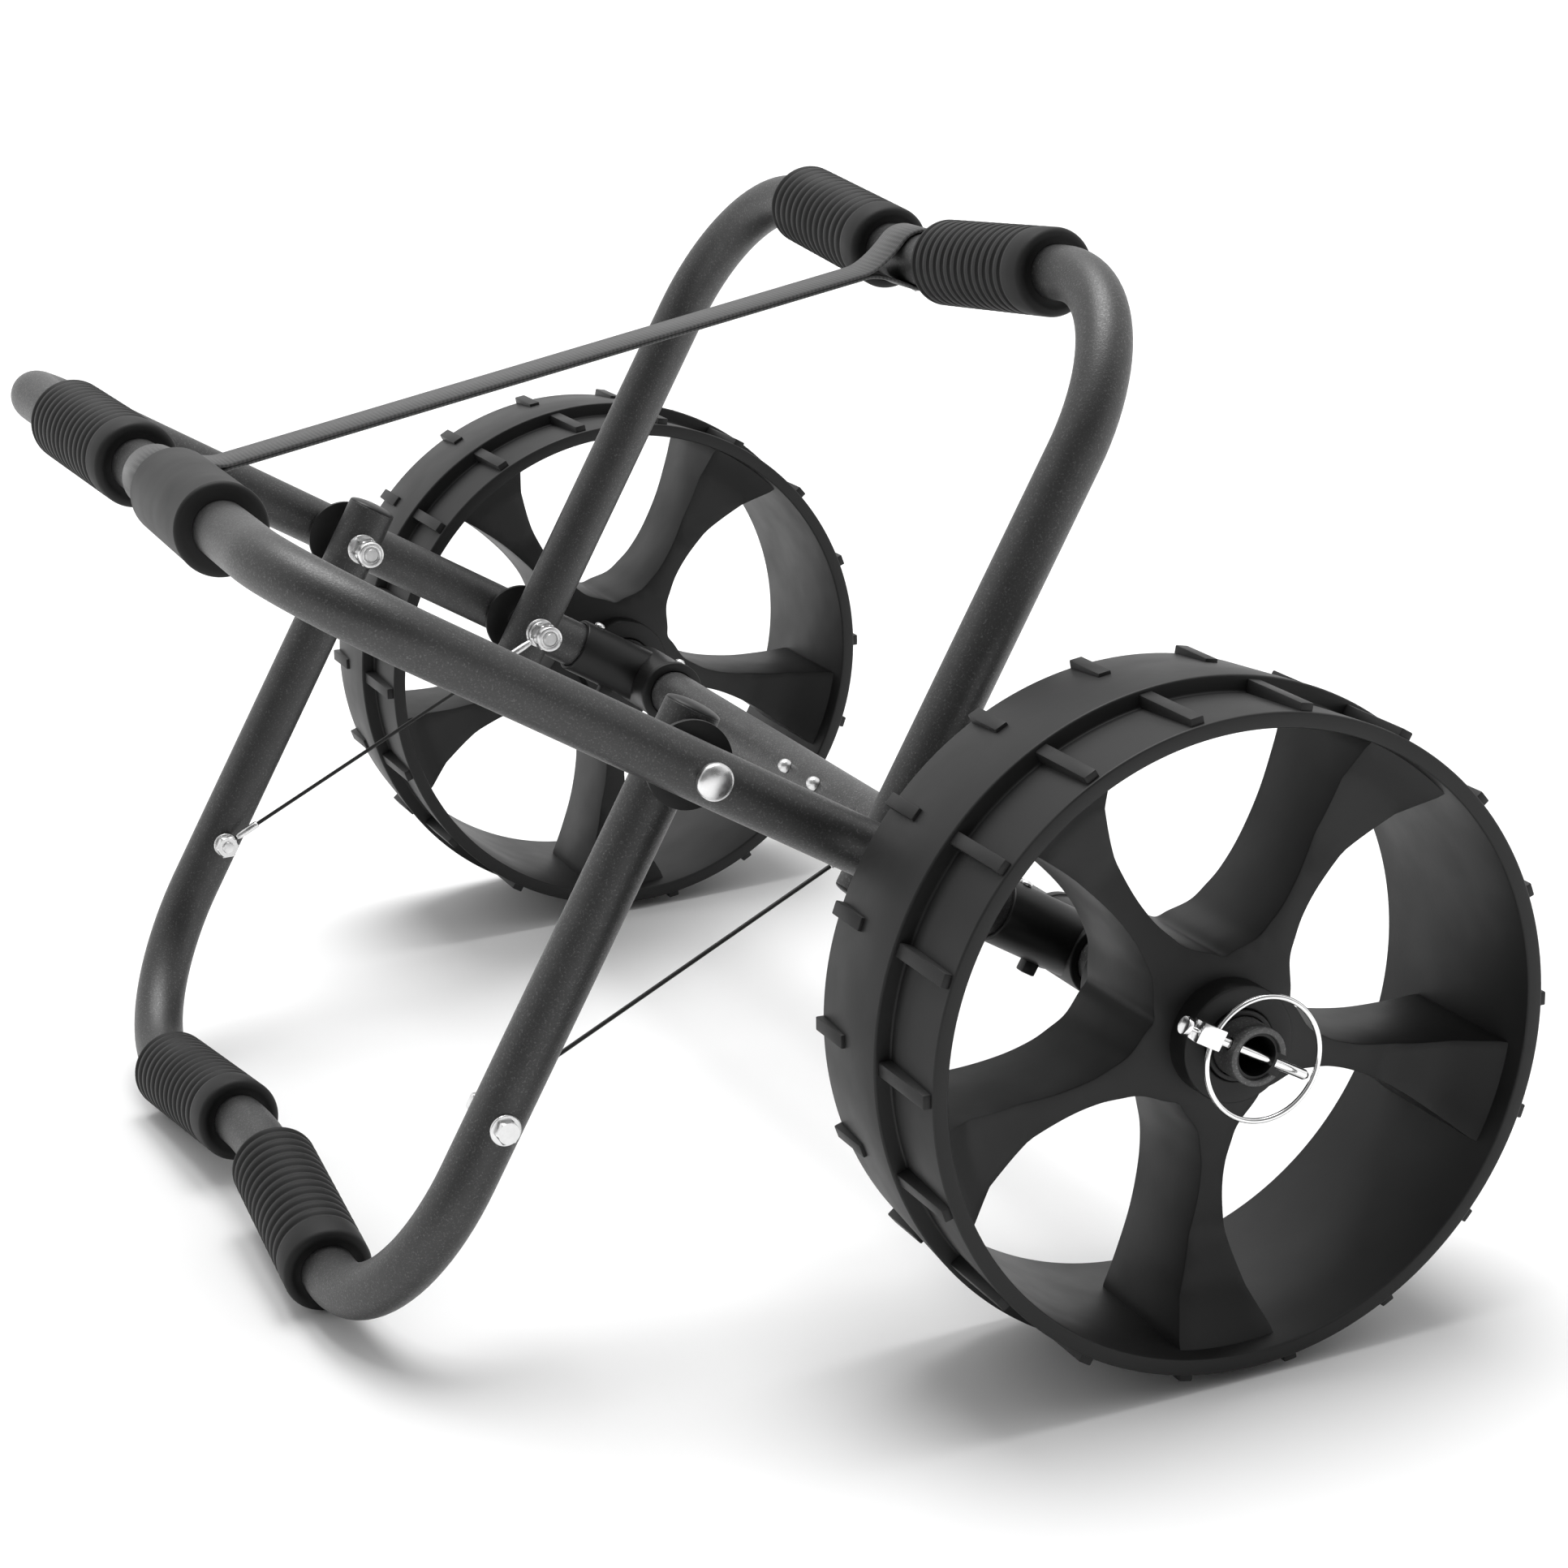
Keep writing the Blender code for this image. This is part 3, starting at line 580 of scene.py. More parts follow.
def ribbed_profile(length):
    """A grip's outline from its ribbed end at 0 to its collar."""
    pitch = (length - GRIP_COLLAR - 0.0040) / GROOVES
    points = [(TUBE_R + 0.0001, 0.0), (GRIP_R - 0.0030, 0.0), (GRIP_R - 0.0010, 0.0008),
              (GRIP_R, 0.0026)]
    for index in range(GROOVES):
        low = 0.0040 + index * pitch
        for share, drop in ((0.0, 0.0), (0.10, 0.75), (0.22, 1.0), (0.34, 0.75), (0.46, 0.0),
                            (0.73, -0.12)):
            points.append((GRIP_R - GROOVE_DEPTH * drop - 0.0001, low + share * pitch))
    top = length - GRIP_COLLAR
    points += [(GRIP_R, top + 0.0010), (GRIP_R, length - 0.0024), (GRIP_R - 0.0008, length - 0.0008),
               (GRIP_R - 0.0022, length), (GRIP_R - 0.0040, length), (GRIP_R - 0.0046, length - 0.0005),
               (TUBE_R + 0.0001, length - 0.0005)]
    return points


def plain_profile(length):
    """The smooth grip's outline, with a fine raised line near its collar end."""
    return [(TUBE_R + 0.0001, 0.0), (GRIP_R - 0.0022, 0.0), (GRIP_R - 0.0006, 0.0008),
            (GRIP_R, 0.0026), (GRIP_R, length - 0.0028), (GRIP_R + 0.0002, length - 0.0018),
            (GRIP_R - 0.0002, length - 0.0008), (GRIP_R - 0.0012, length - 0.0001),
            (GRIP_R - 0.0030, length), (TUBE_R + 0.0001, length)]


def grip(name, bar, side, span, body, profile):
    """A sleeve on a cross bar whose collar end is the one nearer to -Y."""
    ends = sorted((bar_point(*bar, side * y) for y in span), key=lambda p: -p.y)
    length = (ends[1] - ends[0]).length
    outline = list(reversed(profile(length)))
    Shape().lathe(outline, along(ends[0], ends[1] - ends[0]), 72, closed=True).piece(
        name + "_sleeve", GRIP_RUBBER, "grip_rubber", [name], body, sharp=50.0)


def frames():
    u_frame("main_frame_tube", u_route(*MAIN_BAR, MAIN_FILLET, MAIN_KINK, TUBE_R + 0.0006), "main")
    u_frame("load_arm_tube", u_route(*ARM_BAR, ARM_FILLET, FOLDING_KINK, -TAIL), "load_arm")
    u_frame("stand_tube", u_route(*STAND_BAR, STAND_FILLET, FOLDING_KINK, -TAIL), "stand")
    plugs("load_arm", ARM_ORIGIN, ARM_DIR, "load_arm")
    plugs("stand", STAND_ORIGIN, STAND_DIR, "stand")
    for side, sign in SIDES:
        main_look = plain_profile if side == "near" else ribbed_profile
        grip(f"main_grip_{side}", MAIN_BAR, sign, MAIN_GRIPS[side], "main", main_look)
        grip(f"load_arm_grip_{side}", ARM_BAR, sign, ARM_GRIPS[side], "load_arm", ribbed_profile)
        grip(f"stand_grip_{side}", STAND_BAR, sign, STAND_GRIPS[side], "stand", ribbed_profile)


# ---------------------------------------------------------------- axle

def axle():
    """The axle tube with an open slot at each end for the pin, and its two round-headed posts."""
    wall = soften(((TUBE_R, AXLE_END_Y), (TUBE_R, -AXLE_END_Y), (AXLE_BORE_R, -AXLE_END_Y),
                   (AXLE_BORE_R, AXLE_END_Y)), 0.0006, closed=True)
    bar = Shape().lathe(wall, along(AXLE, Y), 64, closed=True).piece(
        "axle_tube_skin", AXLE_PAINT, "axle_powder_coat", ["axle_tube"])
    for side, sign in SIDES:
        outward = Y * sign
        middle = AXLE + outward * (AXLE_END_Y - 0.003) + PIN_DIR * 0.012
        slot = Shape().box(SLOT_SIZE, (0, 0, 0), along(middle, PIN_DIR, outward.cross(PIN_DIR)),
                           edge=0.0012, segments=3)
        hole = Shape().lathe(((0.0, 0.008), (PIN_R + 0.0005, 0.008), (PIN_R + 0.0005, -0.008),
                              (0.0, -0.008)), along(AXLE + outward * PIN_Y - PIN_DIR * 0.012, PIN_DIR), 24)
        for label, cutter in (("slot", slot), ("hole", hole)):
            cut(bar, cutter, f"axle_{label}_{side}")
    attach(bar, "main")
    for side, sign in SIDES:
        outer, inner = AXLE_BORE_R - 0.0002, AXLE_BORE_R - 0.0014
        low, high = AXLE_PLUG_Y
        wall = soften(((outer, high), (outer, low), (0.0, low)), 0.0003)
        hollow = [(0.0, low + 0.0020), (inner, low + 0.0020), (inner, high)]
        Shape().lathe(wall + hollow, along(AXLE, Y * sign), 48, closed=True).piece(
            f"axle_plug_{side}", FITTING_PLASTIC, "fitting_plastic", (), "main")
    for index, y in enumerate(POST_Y, 1):
        seat = AXLE + Y * y + POST_DIRECTION * TUBE_R
        dome = [(0.0, 0.0050)] + [(POST_R * math.sin(t), 0.0015 + 0.0035 * math.cos(t))
                                  for t in (0.2, 0.4, 0.6, 0.8, 1.0, 1.2, 1.4, 1.57)]
        Shape().lathe(dome + [(POST_R, 0.0001), (0.0018, -0.0005), (0.0018, -0.0020), (0.0, -0.0020)],
                      along(seat, POST_DIRECTION), 32).piece(
            f"axle_post_{index}_head", STEEL, "bolt_steel", [f"axle_post_{index}"], "main")


def cut(obj, shape, name):
    """Cuts a form out of a piece, and leaves a plain mesh."""
    bmesh.ops.recalc_face_normals(shape.mesh, faces=shape.mesh.faces)
    mesh = bpy.data.meshes.new(name)
    shape.mesh.to_mesh(mesh)
    shape.mesh.free()
    cutter = bpy.data.objects.new(name, mesh)
    bpy.context.scene.collection.objects.link(cutter)
    modifier = obj.modifiers.new(name, "BOOLEAN")
    modifier.operation = "DIFFERENCE"
    modifier.solver = "EXACT"
    modifier.object = cutter
    bpy.context.view_layer.update()
    evaluated = obj.evaluated_get(bpy.context.evaluated_depsgraph_get())
    final = bpy.data.meshes.new_from_object(evaluated)
    obj.modifiers.clear()
    obj.data = final
    obj.data.shade_smooth()
    obj.data.set_sharp_from_angle(angle=math.radians(SHARP))
    bpy.data.objects.remove(cutter)


def fitting(side, sign):
    """The moulded elbow that joins a main frame leg to the axle, and its two screws."""
    inward = Y * -sign
    centre = AXLE + Y * (sign * MAIN_LEG_Y)
    shape = Shape()
    boss = soften(((FITTING_BOSS_R, 0.0333), (FITTING_BOSS_R, 0.0290), (FITTING_NECK_R, 0.0284),
                   (FITTING_NECK_R, -0.0160), (FITTING_BORE_R, -0.0160), (FITTING_BORE_R, 0.0333)),
                  0.0008, closed=True)
    shape.lathe(boss, along(centre, inward), 64, closed=True)
    sleeve = soften(((FITTING_SLEEVE_R, 0.0520), (FITTING_SLEEVE_R, 0.0020), (FITTING_BORE_R, 0.0020),
                     (FITTING_BORE_R, 0.0520)), 0.0008, closed=True)
    shape.lathe(sleeve, along(centre, MAIN_DIR), 64, closed=True)
    shape.box((0.0070, 0.0060, 0.0080), (0, 0, 0),
              along(centre + MAIN_DIR * 0.0235 - MAIN_UP * 0.0160, -MAIN_UP, MAIN_DIR), edge=0.0008)
    shape.piece(f"axle_fitting_{side}_moulding", FITTING_PLASTIC, "fitting_plastic",
                [f"axle_fitting_{side}"], "main")
    seats = (("leg", centre + MAIN_DIR * 0.0430 + MAIN_UP * FITTING_SLEEVE_R),
             ("boss", centre + inward * 0.0235 + MAIN_UP * FITTING_NECK_R))
    for label, seat in seats:
        name = f"fitting_{label}_screw_{side}"
        screw = Shape().lathe(soften(((0.0, 0.0022), (0.0017, 0.0020), (0.0029, 0.0010), (0.0030, 0.0),
                                      (0.0012, -0.0004), (0.0012, -0.0014), (0.0, -0.0014)), 0.0003),
                              along(seat, MAIN_UP), 32)
        screw.piece(name + "_head", STEEL, "bolt_steel", [name], "main")


# ---------------------------------------------------------------- pivots and wires

def spacer(label, origin, side, sign):
    """A ribbed plastic spacer: a rim, a hub and radial ribs round open pockets, saddled on a tube."""
    outward = Y * sign
    name = f"{label}_spacer_{side}"
    place = along(origin, outward)
    low, high = SPACER_Y
    plate_low, plate_high = SPACER_PLATE_Y
    inner, hole, seat = SPACER_R - SPACER_WALL, PIVOT_BOLT_R + 0.0003, SPACER_HUB_R - 0.0015
    shape = Shape()
    rim = soften(((SPACER_R, high), (SPACER_R, low), (inner, low), (inner, high)), 0.0004, closed=True)
    hub = soften(((SPACER_HUB_R, high), (SPACER_HUB_R, low), (hole, low), (hole, high)),
                 0.0003, closed=True)
    plate = soften(((SPACER_R - 0.0012, plate_high), (SPACER_R - 0.0012, plate_low), (seat, plate_low),
                    (seat, plate_high)), 0.0002, closed=True)
    for form in (rim, hub, plate):
        shape.lathe(form, place, 64, closed=True)
    for index in range(SPACER_RIBS):
        turn = place @ Matrix.Rotation(math.tau * index / SPACER_RIBS, 4, "Z")
        shape.box((SPACER_R - SPACER_HUB_R, 0.0014, high - low - 0.0012),
                  ((SPACER_R + seat) / 2, 0.0, (high + low) / 2), turn, edge=0.0002, segments=1)
    obj = shape.piece(name + "_disc", FITTING_PLASTIC, "fitting_plastic", [name])
    saddle = Shape().lathe(((0.0, 0.04), (TUBE_R + 0.0002, 0.04), (TUBE_R + 0.0002, -0.04),
                            (0.0, -0.04)), along(origin + outward * MAIN_LEG_Y, MAIN_DIR), 64)
    cut(obj, saddle, name + "_saddle")
    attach(obj, "main")


def pivot(label, origin, side, sign):
    """A domed bolt through both tubes, with a washer and a nut on its inner end."""
    outward = Y * sign
    place = along(origin, outward)
    head_y = MAIN_LEG_Y + TUBE_R
    end_y = ARM_LEG_Y - TUBE_R - 0.0185
    dome = [(BOLT_HEAD_R * math.sin(t), head_y + 0.0028 + 0.0030 * math.cos(t))
            for t in (0.0, 0.15, 0.3, 0.5, 0.7, 0.9, 1.1, 1.3, 1.5)]
    thread = []
    for index in range(THREAD_TURNS):
        height = end_y + 0.0115 - THREAD_PITCH * index
        thread += [(PIVOT_BOLT_R, height), (PIVOT_BOLT_R - 0.00045, height - THREAD_PITCH / 2)]
    profile = dome + [(BOLT_HEAD_R, head_y + 0.0006), (0.0076, head_y), (PIVOT_BOLT_R, head_y),
                      *thread, (PIVOT_BOLT_R - 0.0010, end_y), (0.0, end_y)]
    bolt = f"{label}_pivot_bolt_{side}"
    Shape().lathe(profile, place, 40).piece(bolt + "_screw", STEEL, "bolt_steel", [bolt], "main")
    face = ARM_LEG_Y - TUBE_R
    ring = soften(((WASHER_R, face), (WASHER_R, face - 0.0015), (PIVOT_BOLT_R, face - 0.0015),
                   (PIVOT_BOLT_R, face)), 0.0003, closed=True)
    washer = f"{label}_pivot_washer_{side}"
    Shape().lathe(ring, place, 48, closed=True).piece(
        washer + "_ring", STEEL, "bolt_steel", [washer], "main")
    top = WIRE_Y - 0.0012
    nut = f"{label}_pivot_nut_{side}"
    shape = Shape().hexagon(NUT_R, top - NUT_HEIGHT, top, place, hole=PIVOT_BOLT_R)
    start, end = top - NUT_HEIGHT + 0.0002, top - NUT_COLLAR_END
    collar = soften(((NUT_COLLAR_R, start), (NUT_COLLAR_R, end), (PIVOT_BOLT_R, end),
                     (PIVOT_BOLT_R, start)), 0.0010, closed=True)
    shape.lathe(collar, place, 48, closed=True)
    shape.piece(nut + "_hex", STEEL, "bolt_steel", [nut], "main")


def wire_bolt(side, sign):
    """The flanged hex bolt through a stand leg, and the nut that holds the wire's eye."""
    outward = Y * sign
    place = along(WIRE_BOLT, outward)
    head_y = ARM_LEG_Y + TUBE_R
    end_y = ARM_LEG_Y - TUBE_R - 0.0110
    name = f"wire_bolt_{side}"
    shape = Shape()
    flange = soften(((0.0, head_y + 0.0014), (WIRE_BOLT_FLANGE_R - 0.0003, head_y + 0.0013),
                     (WIRE_BOLT_FLANGE_R, head_y), (WIRE_BOLT_R, head_y), (WIRE_BOLT_R, end_y),
                     (0.0, end_y)), 0.0004)
    shape.lathe(flange, place, 40)
    shape.hexagon(0.0056, head_y + 0.0010, head_y + 0.0052, place, edge=0.0006)
    shape.piece(name + "_screw", STEEL, "bolt_steel", [name], "stand")
    top = WIRE_Y - 0.0012
    nut = f"wire_nut_{side}"
    Shape().hexagon(0.0062, top - 0.0045, top, place, hole=WIRE_BOLT_R).piece(
        nut + "_hex", STEEL, "bolt_steel", [nut], "stand")


def stay_wire(side, sign):
    """The stay wire with a crimped ferrule and an eye at each end."""
    shift = Y * (sign * WIRE_Y)
    start, end = WIRE_BOLT + shift, ARM_ORIGIN + shift
    course = (end - start).normalized()
    length = (end - start).length
    route = [start + course * (0.006 + (length - 0.013) * i / 48) for i in range(49)]
    shape = Shape().sweep(route, WIRE_R, 16)
    for centre, hole, rim in ((start, WIRE_BOLT_R, WIRE_EYE_R), (end, PIVOT_BOLT_R, ARM_EYE_R)):
        ring = soften(((rim, EYE_HALF), (rim, -EYE_HALF), (hole, -EYE_HALF), (hole, EYE_HALF)),
                      0.0004, closed=True)
        shape.lathe(ring, along(centre, Y), 40, closed=True, material=1)
    for from_eye, to_eye in ((start, course), (end, -course)):
        sleeve = soften(((0.0, 0.0200), (0.0016, 0.0200), (0.0019, 0.0190), (0.0019, 0.0120),
                         (0.0016, 0.0085), (0.0010, 0.0070), (0.0, 0.0070)), 0.0003)
        shape.lathe(sleeve, along(from_eye, to_eye), 24, material=1)
    wire = shape.piece(f"stay_wire_{side}_rope", [CABLE, STEEL], "wire_coating", [f"stay_wire_{side}"])
    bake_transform(wire)


# ---------------------------------------------------------------- wheels

WEB_WALL_R = RIM_INNER_R + 0.0015


def web_outline():
    """The outline of the hub and its five spokes, whose wide ends are sunk into the rim."""
    upper = [Vector((r * math.cos(math.radians(a)), r * math.sin(math.radians(a)))) for r, a in WINDOW]
    lower = [Vector((p.x, -p.y)) for p in reversed(upper[1:])]
    window = catmull(lower + upper, 6)
    edge = math.radians(WINDOW[-1][1])
    gap = math.tau / SPOKES - 2 * edge
    window += [WEB_WALL_R * Vector((math.cos(edge + gap * i / 12), math.sin(edge + gap * i / 12)))
               for i in range(13)]
    outline = []
    for index in range(SPOKES):
        turn = Matrix.Rotation(OPENING_PHASE + index * math.tau / SPOKES, 2)
        outline += [turn @ p for p in window]
    return outline


def catmull(points, steps):
    """A smooth curve through the points."""
    padded = [points[0] * 2 - points[1], *points, points[-1] * 2 - points[-2]]
    made = []
    for a, b, c, d in zip(padded, padded[1:], padded[2:], padded[3:]):
        for k in range(steps):
            t = k / steps
            made.append(0.5 * ((2 * b) + (c - a) * t + (2 * a - 5 * b + 4 * c - d) * t * t
                               + (3 * b - a - 3 * c + d) * t ** 3))
    return made + [points[-1]]


def sunk(radius):
    """How far the web's front face lies behind its edge at the rim."""
    stations = (*DISH, (WEB_WALL_R, 0.0))
    for (near, shallow), (far, deep) in zip(stations, stations[1:]):
        if radius <= far:
            t = (radius - near) / (far - near)
            return shallow + (deep - shallow) * t
    return 0.0


def window_edge(radius):
    """Half the angle that a window takes up at a radius."""
    for (near, low), (far, high) in zip(WINDOW, WINDOW[1:]):
        if near <= radius <= far:
            return math.radians(low + (high - low) * (radius - near) / (far - near))
    return 0.0


def dished_face(form, edge):
    """Fills the web's front with an even net of points that follows its dish."""
    inside = []
    clear = 0.003
    pitch = math.tau / SPOKES
    for ring in range(1, int(RIM_INNER_R / DISH_STEP)):
        radius = ring * DISH_STEP
        steps = max(8, int(math.tau * radius / DISH_STEP))
        for k in range(steps):
            angle = math.tau * k / steps
            offset = abs((angle - OPENING_PHASE + pitch / 2) % pitch - pitch / 2)
            room = (offset - window_edge(radius)) * radius
            if radius < WINDOW[0][0] - clear or (radius > WINDOW[0][0] and room > clear):
                inside.append(Vector((radius * math.cos(angle), radius * math.sin(angle))))
    flat = [v.co.to_2d() for v in edge] + inside
    points, _, faces, *_ = delaunay_2d_cdt(flat, [], [list(range(len(edge)))], 1, 1e-7)
    verts = edge + [form.verts.new((p.x, p.y, WEB_DEPTH / 2 - sunk(p.length)))
                    for p in points[len(edge):]]
    for face in faces:
        form.faces.new([verts[i] for i in face])


def web_mesh():
    """The spoke web: straight window walls, a flat back and a dished front, with softened edges."""
    outline = web_outline()
    count = len(outline)
    levels = ((0.0008, -WEB_DEPTH / 2), (0.0002, 0.0002 - WEB_DEPTH / 2), (0.0, 0.0008 - WEB_DEPTH / 2),
              (0.0, WEB_DEPTH / 2 - 0.0008), (0.0002, WEB_DEPTH / 2 - 0.0002), (0.0008, WEB_DEPTH / 2))
    normals = []
    for i, point in enumerate(outline):
        ahead = (outline[(i + 1) % count] - outline[i - 1]).normalized()
        normals.append(Vector((-ahead.y, ahead.x)))
    form = bmesh.new()
    rings = []
    for inset, height in levels:
        ring = []
        for point, normal in zip(outline, normals):
            spot = point + normal * inset
            drop = sunk(spot.length) if height > 0 else 0.0
            ring.append(form.verts.new((spot.x, spot.y, height - drop)))
        rings.append(ring)
    for low, high in zip(rings, rings[1:]):
        for i in range(count):
            j = (i + 1) % count
            form.faces.new((low[i], low[j], high[j], high[i]))
    for triangle in tessellate_polygon([[v.co for v in rings[0]]]):
        form.faces.new([rings[0][i] for i in reversed(triangle)])
    dished_face(form, rings[-1])
    bmesh.ops.recalc_face_normals(form, faces=form.faces)
    return form


def wheel(side, sign):
    """One moulded wheel: rim with its tread, spoke web and hub, and the bush in it."""
    place = along(AXLE + Y * (sign * WHEEL_Y), -Y, (1, 0, 0))
    half, ridge = WHEEL_HALF, WHEEL_HALF - CHANNEL_WIDTH
    shape = Shape()
    rim = soften(((LIP_R, half), (CHANNEL_R, ridge), (RIDGE_R, ridge), (BAND_R, -half),
                  (RIM_BACK_R, -half), (RIM_INNER_R, half)), 0.0010, closed=True)
    shape.lathe(rim, place, 216, closed=True)
    shape.merge(web_mesh(), place @ Matrix.Translation((0, 0, half - WEB_FRONT - WEB_DEPTH / 2)))
    reach = half - HUB_FRONT
    hub = soften(((HUB_R, reach), (HUB_R, -reach), (HUB_BORE_R, -reach), (HUB_BORE_R, reach)),
                 0.0010, closed=True)
    shape.lathe(hub, place, 72, closed=True)
    for index in range(TREAD_COUNT):
        turn = place @ Matrix.Rotation(TREAD_PHASE + index * math.tau / TREAD_COUNT, 4, "Z")
        shape.box((BAR_TOP_R - BAR_ROOT_R, TREAD_WIDTH, CHANNEL_WIDTH - 0.001),
                  ((BAR_TOP_R + BAR_ROOT_R) / 2, 0.0, ridge + CHANNEL_WIDTH / 2 - 0.0015), turn,
                  edge=0.0006)
        shape.box((LUG_TOP_R - LUG_ROOT_R, TREAD_WIDTH, LUG_LENGTH),
                  ((LUG_TOP_R + LUG_ROOT_R) / 2, 0.0, LUG_LENGTH / 2 + 0.0005 - half), turn, edge=0.0006)
    shape.piece(f"wheel_{side}_moulding", WHEEL_PLASTIC, "wheel_plastic", [f"wheel_{side}"],
                f"wheel_{side}")
    end = reach + BUSH_PROUD
    bush = soften(((BUSH_R, end), (BUSH_R, -end), (BUSH_BORE_R, -end), (BUSH_BORE_R, end)),
                  0.0005, closed=True)
    Shape().lathe(bush, place, 64, closed=True).piece(
        f"wheel_bush_{side}_sleeve", FITTING_PLASTIC, "fitting_plastic", [f"wheel_bush_{side}"],
        f"wheel_{side}")


def lock_pin(side, sign):
    """The pin with its square head, neck and end cap, and the spring ring in the head."""
    outward = Y * sign
    centre = AXLE + outward * PIN_Y
    place = along(centre, PIN_DIR, outward)
    low, high = PIN_BLOCK
    shape = Shape()
    shank = soften(((0.0, PIN_TIP), (0.0012, PIN_TIP), (PIN_R, PIN_TIP - 0.0018), (PIN_R, PIN_SHANK_END),
                    (0.0, PIN_SHANK_END)), 0.0004)
    shape.lathe(shank, place, 32)
    shape.box((*PIN_BLOCK_SIDES, high - low), (0.0, 0.0, (low + high) / 2), place, edge=0.0006)
    cap_start, cap_end = PIN_CAP
    shape.lathe(((0.0, low + 0.001), (PIN_NECK_R, low + 0.001), (PIN_NECK_R, cap_start - 0.0005),
                 (0.0, cap_start - 0.0005)), place, 20)
    cap = soften(((0.0, cap_start), (PIN_CAP_R, cap_start), (PIN_CAP_R, cap_end), (0.0, cap_end)), 0.0005)
    shape.lathe(cap, place, 40)
    shape.piece(f"lock_pin_{side}_body", CHROME, "pin_chrome", [f"lock_pin_{side}"], f"lock_pin_{side}")
    hinge = (low + high) / 2
    across = outward.cross(PIN_DIR)
    opening = math.asin(RING_GAP / RING_R) + 0.02
    route = []
    steps = 120
    for index in range(steps + 1):
        angle = math.pi + opening + (math.tau - 2 * opening) * index / steps
        reach = RING_SHIFT + (RING_R - RING_SHIFT) * math.cos(angle)
        tilt = RING_TILT * (reach - hinge) / (RING_R - hinge)
        route.append(centre + PIN_DIR * reach + across * RING_R * math.sin(angle) + outward * tilt)
    Shape().sweep(route, RING_WIRE_R, 20).piece(
        f"lock_ring_{side}_wire", CHROME, "pin_chrome", [f"lock_ring_{side}"], f"lock_ring_{side}")


# ---------------------------------------------------------------- strap

def strap():
    """Webbing looped round both bars, over the first and under the second, with a tack."""
    main_bar = bar_middle(*MAIN_BAR, MAIN_KINK)
    arm_bar = bar_middle(*ARM_BAR, FOLDING_KINK)
    course = arm_bar - main_bar
    span = course.length
    course.normalize()
    up = Vector((-course.z, 0.0, course.x))
    middle = TUBE_R + STRAP_EASE + STRAP_THICK / 2

    def at(x, y):
        return main_bar + course * x + up * y

    def layer(side):
        """One layer of the doubled strap: round the back of each bar, then down to the middle."""
        lift = side * STRAP_THICK / 2
        leave = math.acos((middle + STRAP_THICK) / STRAP_NECK)
        near_arc = [(middle * math.cos(t), side * middle * math.sin(t))
                    for t in (math.pi + (leave - math.pi) * i / 20 for i in range(21))]
        rise = near_arc[-1][1]
        steps = [i / 10 for i in range(1, 11)]
        neck = [(near_arc[-1][0] + (STRAP_NECK - near_arc[-1][0]) * k,
                 lift + (rise - lift) * (1 - k) ** 1.6) for k in steps]
        run = [(STRAP_NECK + (span - 2 * STRAP_NECK) * i / 40, lift) for i in range(1, 40)]
        other = [(span - x, y) for x, y in reversed(near_arc + neck)]
        return near_arc + neck + run + other

    shape = Shape()
    for side in (1.0, -1.0):
        ribbon(shape, [at(x, y) for x, y in layer(side)])
    band = shape.piece("strap_band", WEBBING, "strap_webbing", ["strap"], sharp=60.0)
    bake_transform(band)
    seat = arm_bar - up * (middle + STRAP_THICK / 2)
    tack = Shape().lathe(soften(((0.0, 0.0022), (0.0020, 0.0019), (0.0033, 0.0008), (0.0034, 0.0),
                                 (0.0, 0.0)), 0.0003), along(seat, -up), 32)
    tack.piece("strap_tack_head", STEEL, "bolt_steel", ["strap_tack"], "load_arm")


def ribbon(shape, route):
    """A flat band along a route in the XZ plane, with rounded selvedges."""
    half, thick = STRAP_HALF_WIDTH, STRAP_THICK / 2
    section = [(-half, -thick * 0.4), (-half + 0.0006, -thick), (half - 0.0006, -thick),
               (half, -thick * 0.4), (half, thick * 0.4), (half - 0.0006, thick),
               (-half + 0.0006, thick), (-half, thick * 0.4)]
    points, faces = [], []
    count = len(route)
    for i, point in enumerate(route):
        tangent = (route[min(i + 1, count - 1)] - route[max(i - 1, 0)]).normalized()
        normal = tangent.cross(Y)
        points += [point + Y * y + normal * n for y, n in section]
    size = len(section)
    for i in range(count - 1):
        for k in range(size):
            j = (k + 1) % size
            faces.append((i * size + k, i * size + j, (i + 1) * size + j, (i + 1) * size + k))
    faces += [tuple(range(size)), tuple(reversed(range((count - 1) * size, count * size)))]
    shape.add(points, faces)


# ---------------------------------------------------------------- studio

CAMERA_OFFSET = Vector((-0.68285, -1.61390, 0.54956))
CAMERA_FORWARD = Vector((0.35821, 0.88596, -0.29454))
CAMERA_UP = Vector((0.17073, 0.24800, 0.95360))
CAMERA_LENS = 84.6
DARK_SIDE = Vector((-0.36, -0.90, 0.15))
DARK_VALUE = 0.18
SUN_DIRECTION = Vector((-0.10, -0.20, -1.0))
SUN_ENERGY = 2.4
SUN_ANGLE = math.radians(40.0)
FLOOR_HALF = 60.0


def camera():
    """The camera at the photograph's viewing angle."""
    data = bpy.data.cameras.new("camera")
    data.sensor_width = 36.0
    data.lens = CAMERA_LENS
    data.clip_start, data.clip_end = 0.05, 50.0
    obj = bpy.data.objects.new("camera", data)
    bpy.context.scene.collection.objects.link(obj)
    right = CAMERA_FORWARD.cross(CAMERA_UP).normalized()
    up = right.cross(CAMERA_FORWARD).normalized()
    turn = Matrix((right, up, -CAMERA_FORWARD.normalized())).transposed()
    obj.matrix_world = Matrix.Translation(AXLE + CAMERA_OFFSET) @ turn.to_4x4()
    bpy.context.scene.camera = obj


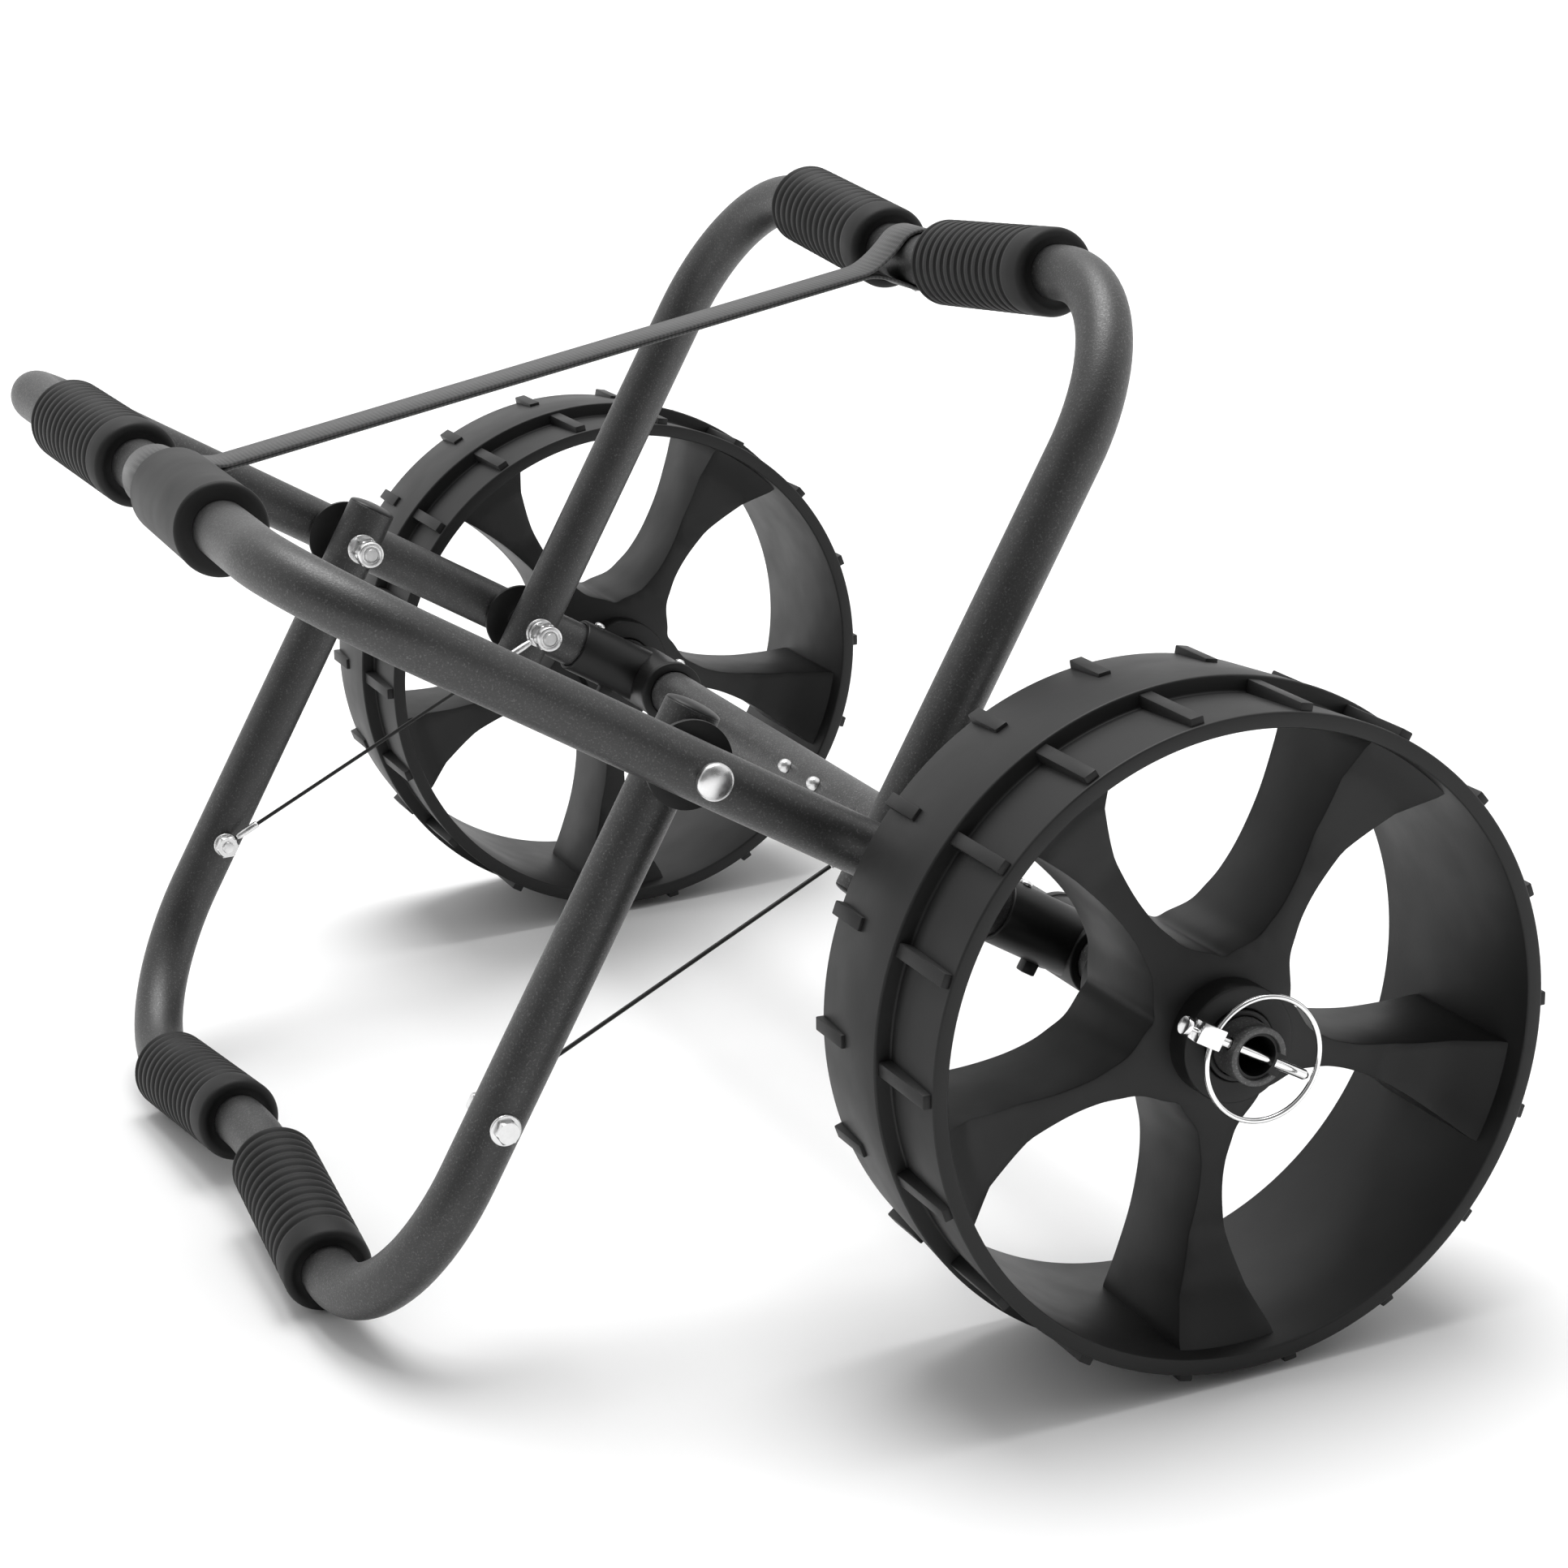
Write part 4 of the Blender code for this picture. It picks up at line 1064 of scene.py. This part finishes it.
def studio():
    """A white room that is dark behind the viewer, with a broad light overhead."""
    world = bpy.data.worlds.new("studio")
    bpy.context.scene.world = world
    world.use_nodes = True
    tree = world.node_tree
    background = tree.nodes["Background"]
    background.inputs["Strength"].default_value = 1.0
    place = tree.nodes.new("ShaderNodeTexCoord")
    toward = tree.nodes.new("ShaderNodeVectorMath")
    toward.operation = "DOT_PRODUCT"
    toward.inputs[1].default_value = DARK_SIDE.normalized()
    shade = tree.nodes.new("ShaderNodeValToRGB")
    shade.color_ramp.elements[0].position = 0.15
    shade.color_ramp.elements[0].color = (1.0, 1.0, 1.0, 1.0)
    shade.color_ramp.elements[1].position = 0.75
    shade.color_ramp.elements[1].color = (DARK_VALUE, DARK_VALUE, DARK_VALUE, 1.0)
    tree.links.new(place.outputs["Generated"], toward.inputs[0])
    tree.links.new(toward.outputs["Value"], shade.inputs["Fac"])
    tree.links.new(shade.outputs["Color"], background.inputs["Color"])
    sun = bpy.data.lights.new("overhead", "SUN")
    sun.energy = SUN_ENERGY
    sun.angle = SUN_ANGLE
    lamp = bpy.data.objects.new("overhead", sun)
    bpy.context.scene.collection.objects.link(lamp)
    lamp.rotation_euler = SUN_DIRECTION.to_track_quat("-Z", "Y").to_euler()
    floor_mesh = bpy.data.meshes.new("floor")
    form = bmesh.new()
    bmesh.ops.create_grid(form, x_segments=1, y_segments=1, size=FLOOR_HALF)
    form.to_mesh(floor_mesh)
    form.free()
    floor = bpy.data.objects.new("floor", floor_mesh)
    bpy.context.scene.collection.objects.link(floor)
    m = Nodes("floor_paper", 0.9)
    m.colour(m.ramp(m.noise(3.0), (0.3, 0.86), (0.7, 0.88)))
    floor_mesh.materials.append(m.material)
    bpy.context.scene.view_settings.view_transform = "Standard"


frames()
axle()
for side_name, side_sign in SIDES:
    fitting(side_name, side_sign)
    for pivot_name, pivot_at in (("arm", ARM_ORIGIN), ("stand", STAND_ORIGIN)):
        spacer(pivot_name, pivot_at, side_name, side_sign)
        pivot(pivot_name, pivot_at, side_name, side_sign)
    wire_bolt(side_name, side_sign)
    stay_wire(side_name, side_sign)
    wheel(side_name, side_sign)
    lock_pin(side_name, side_sign)
strap()
camera()
studio()
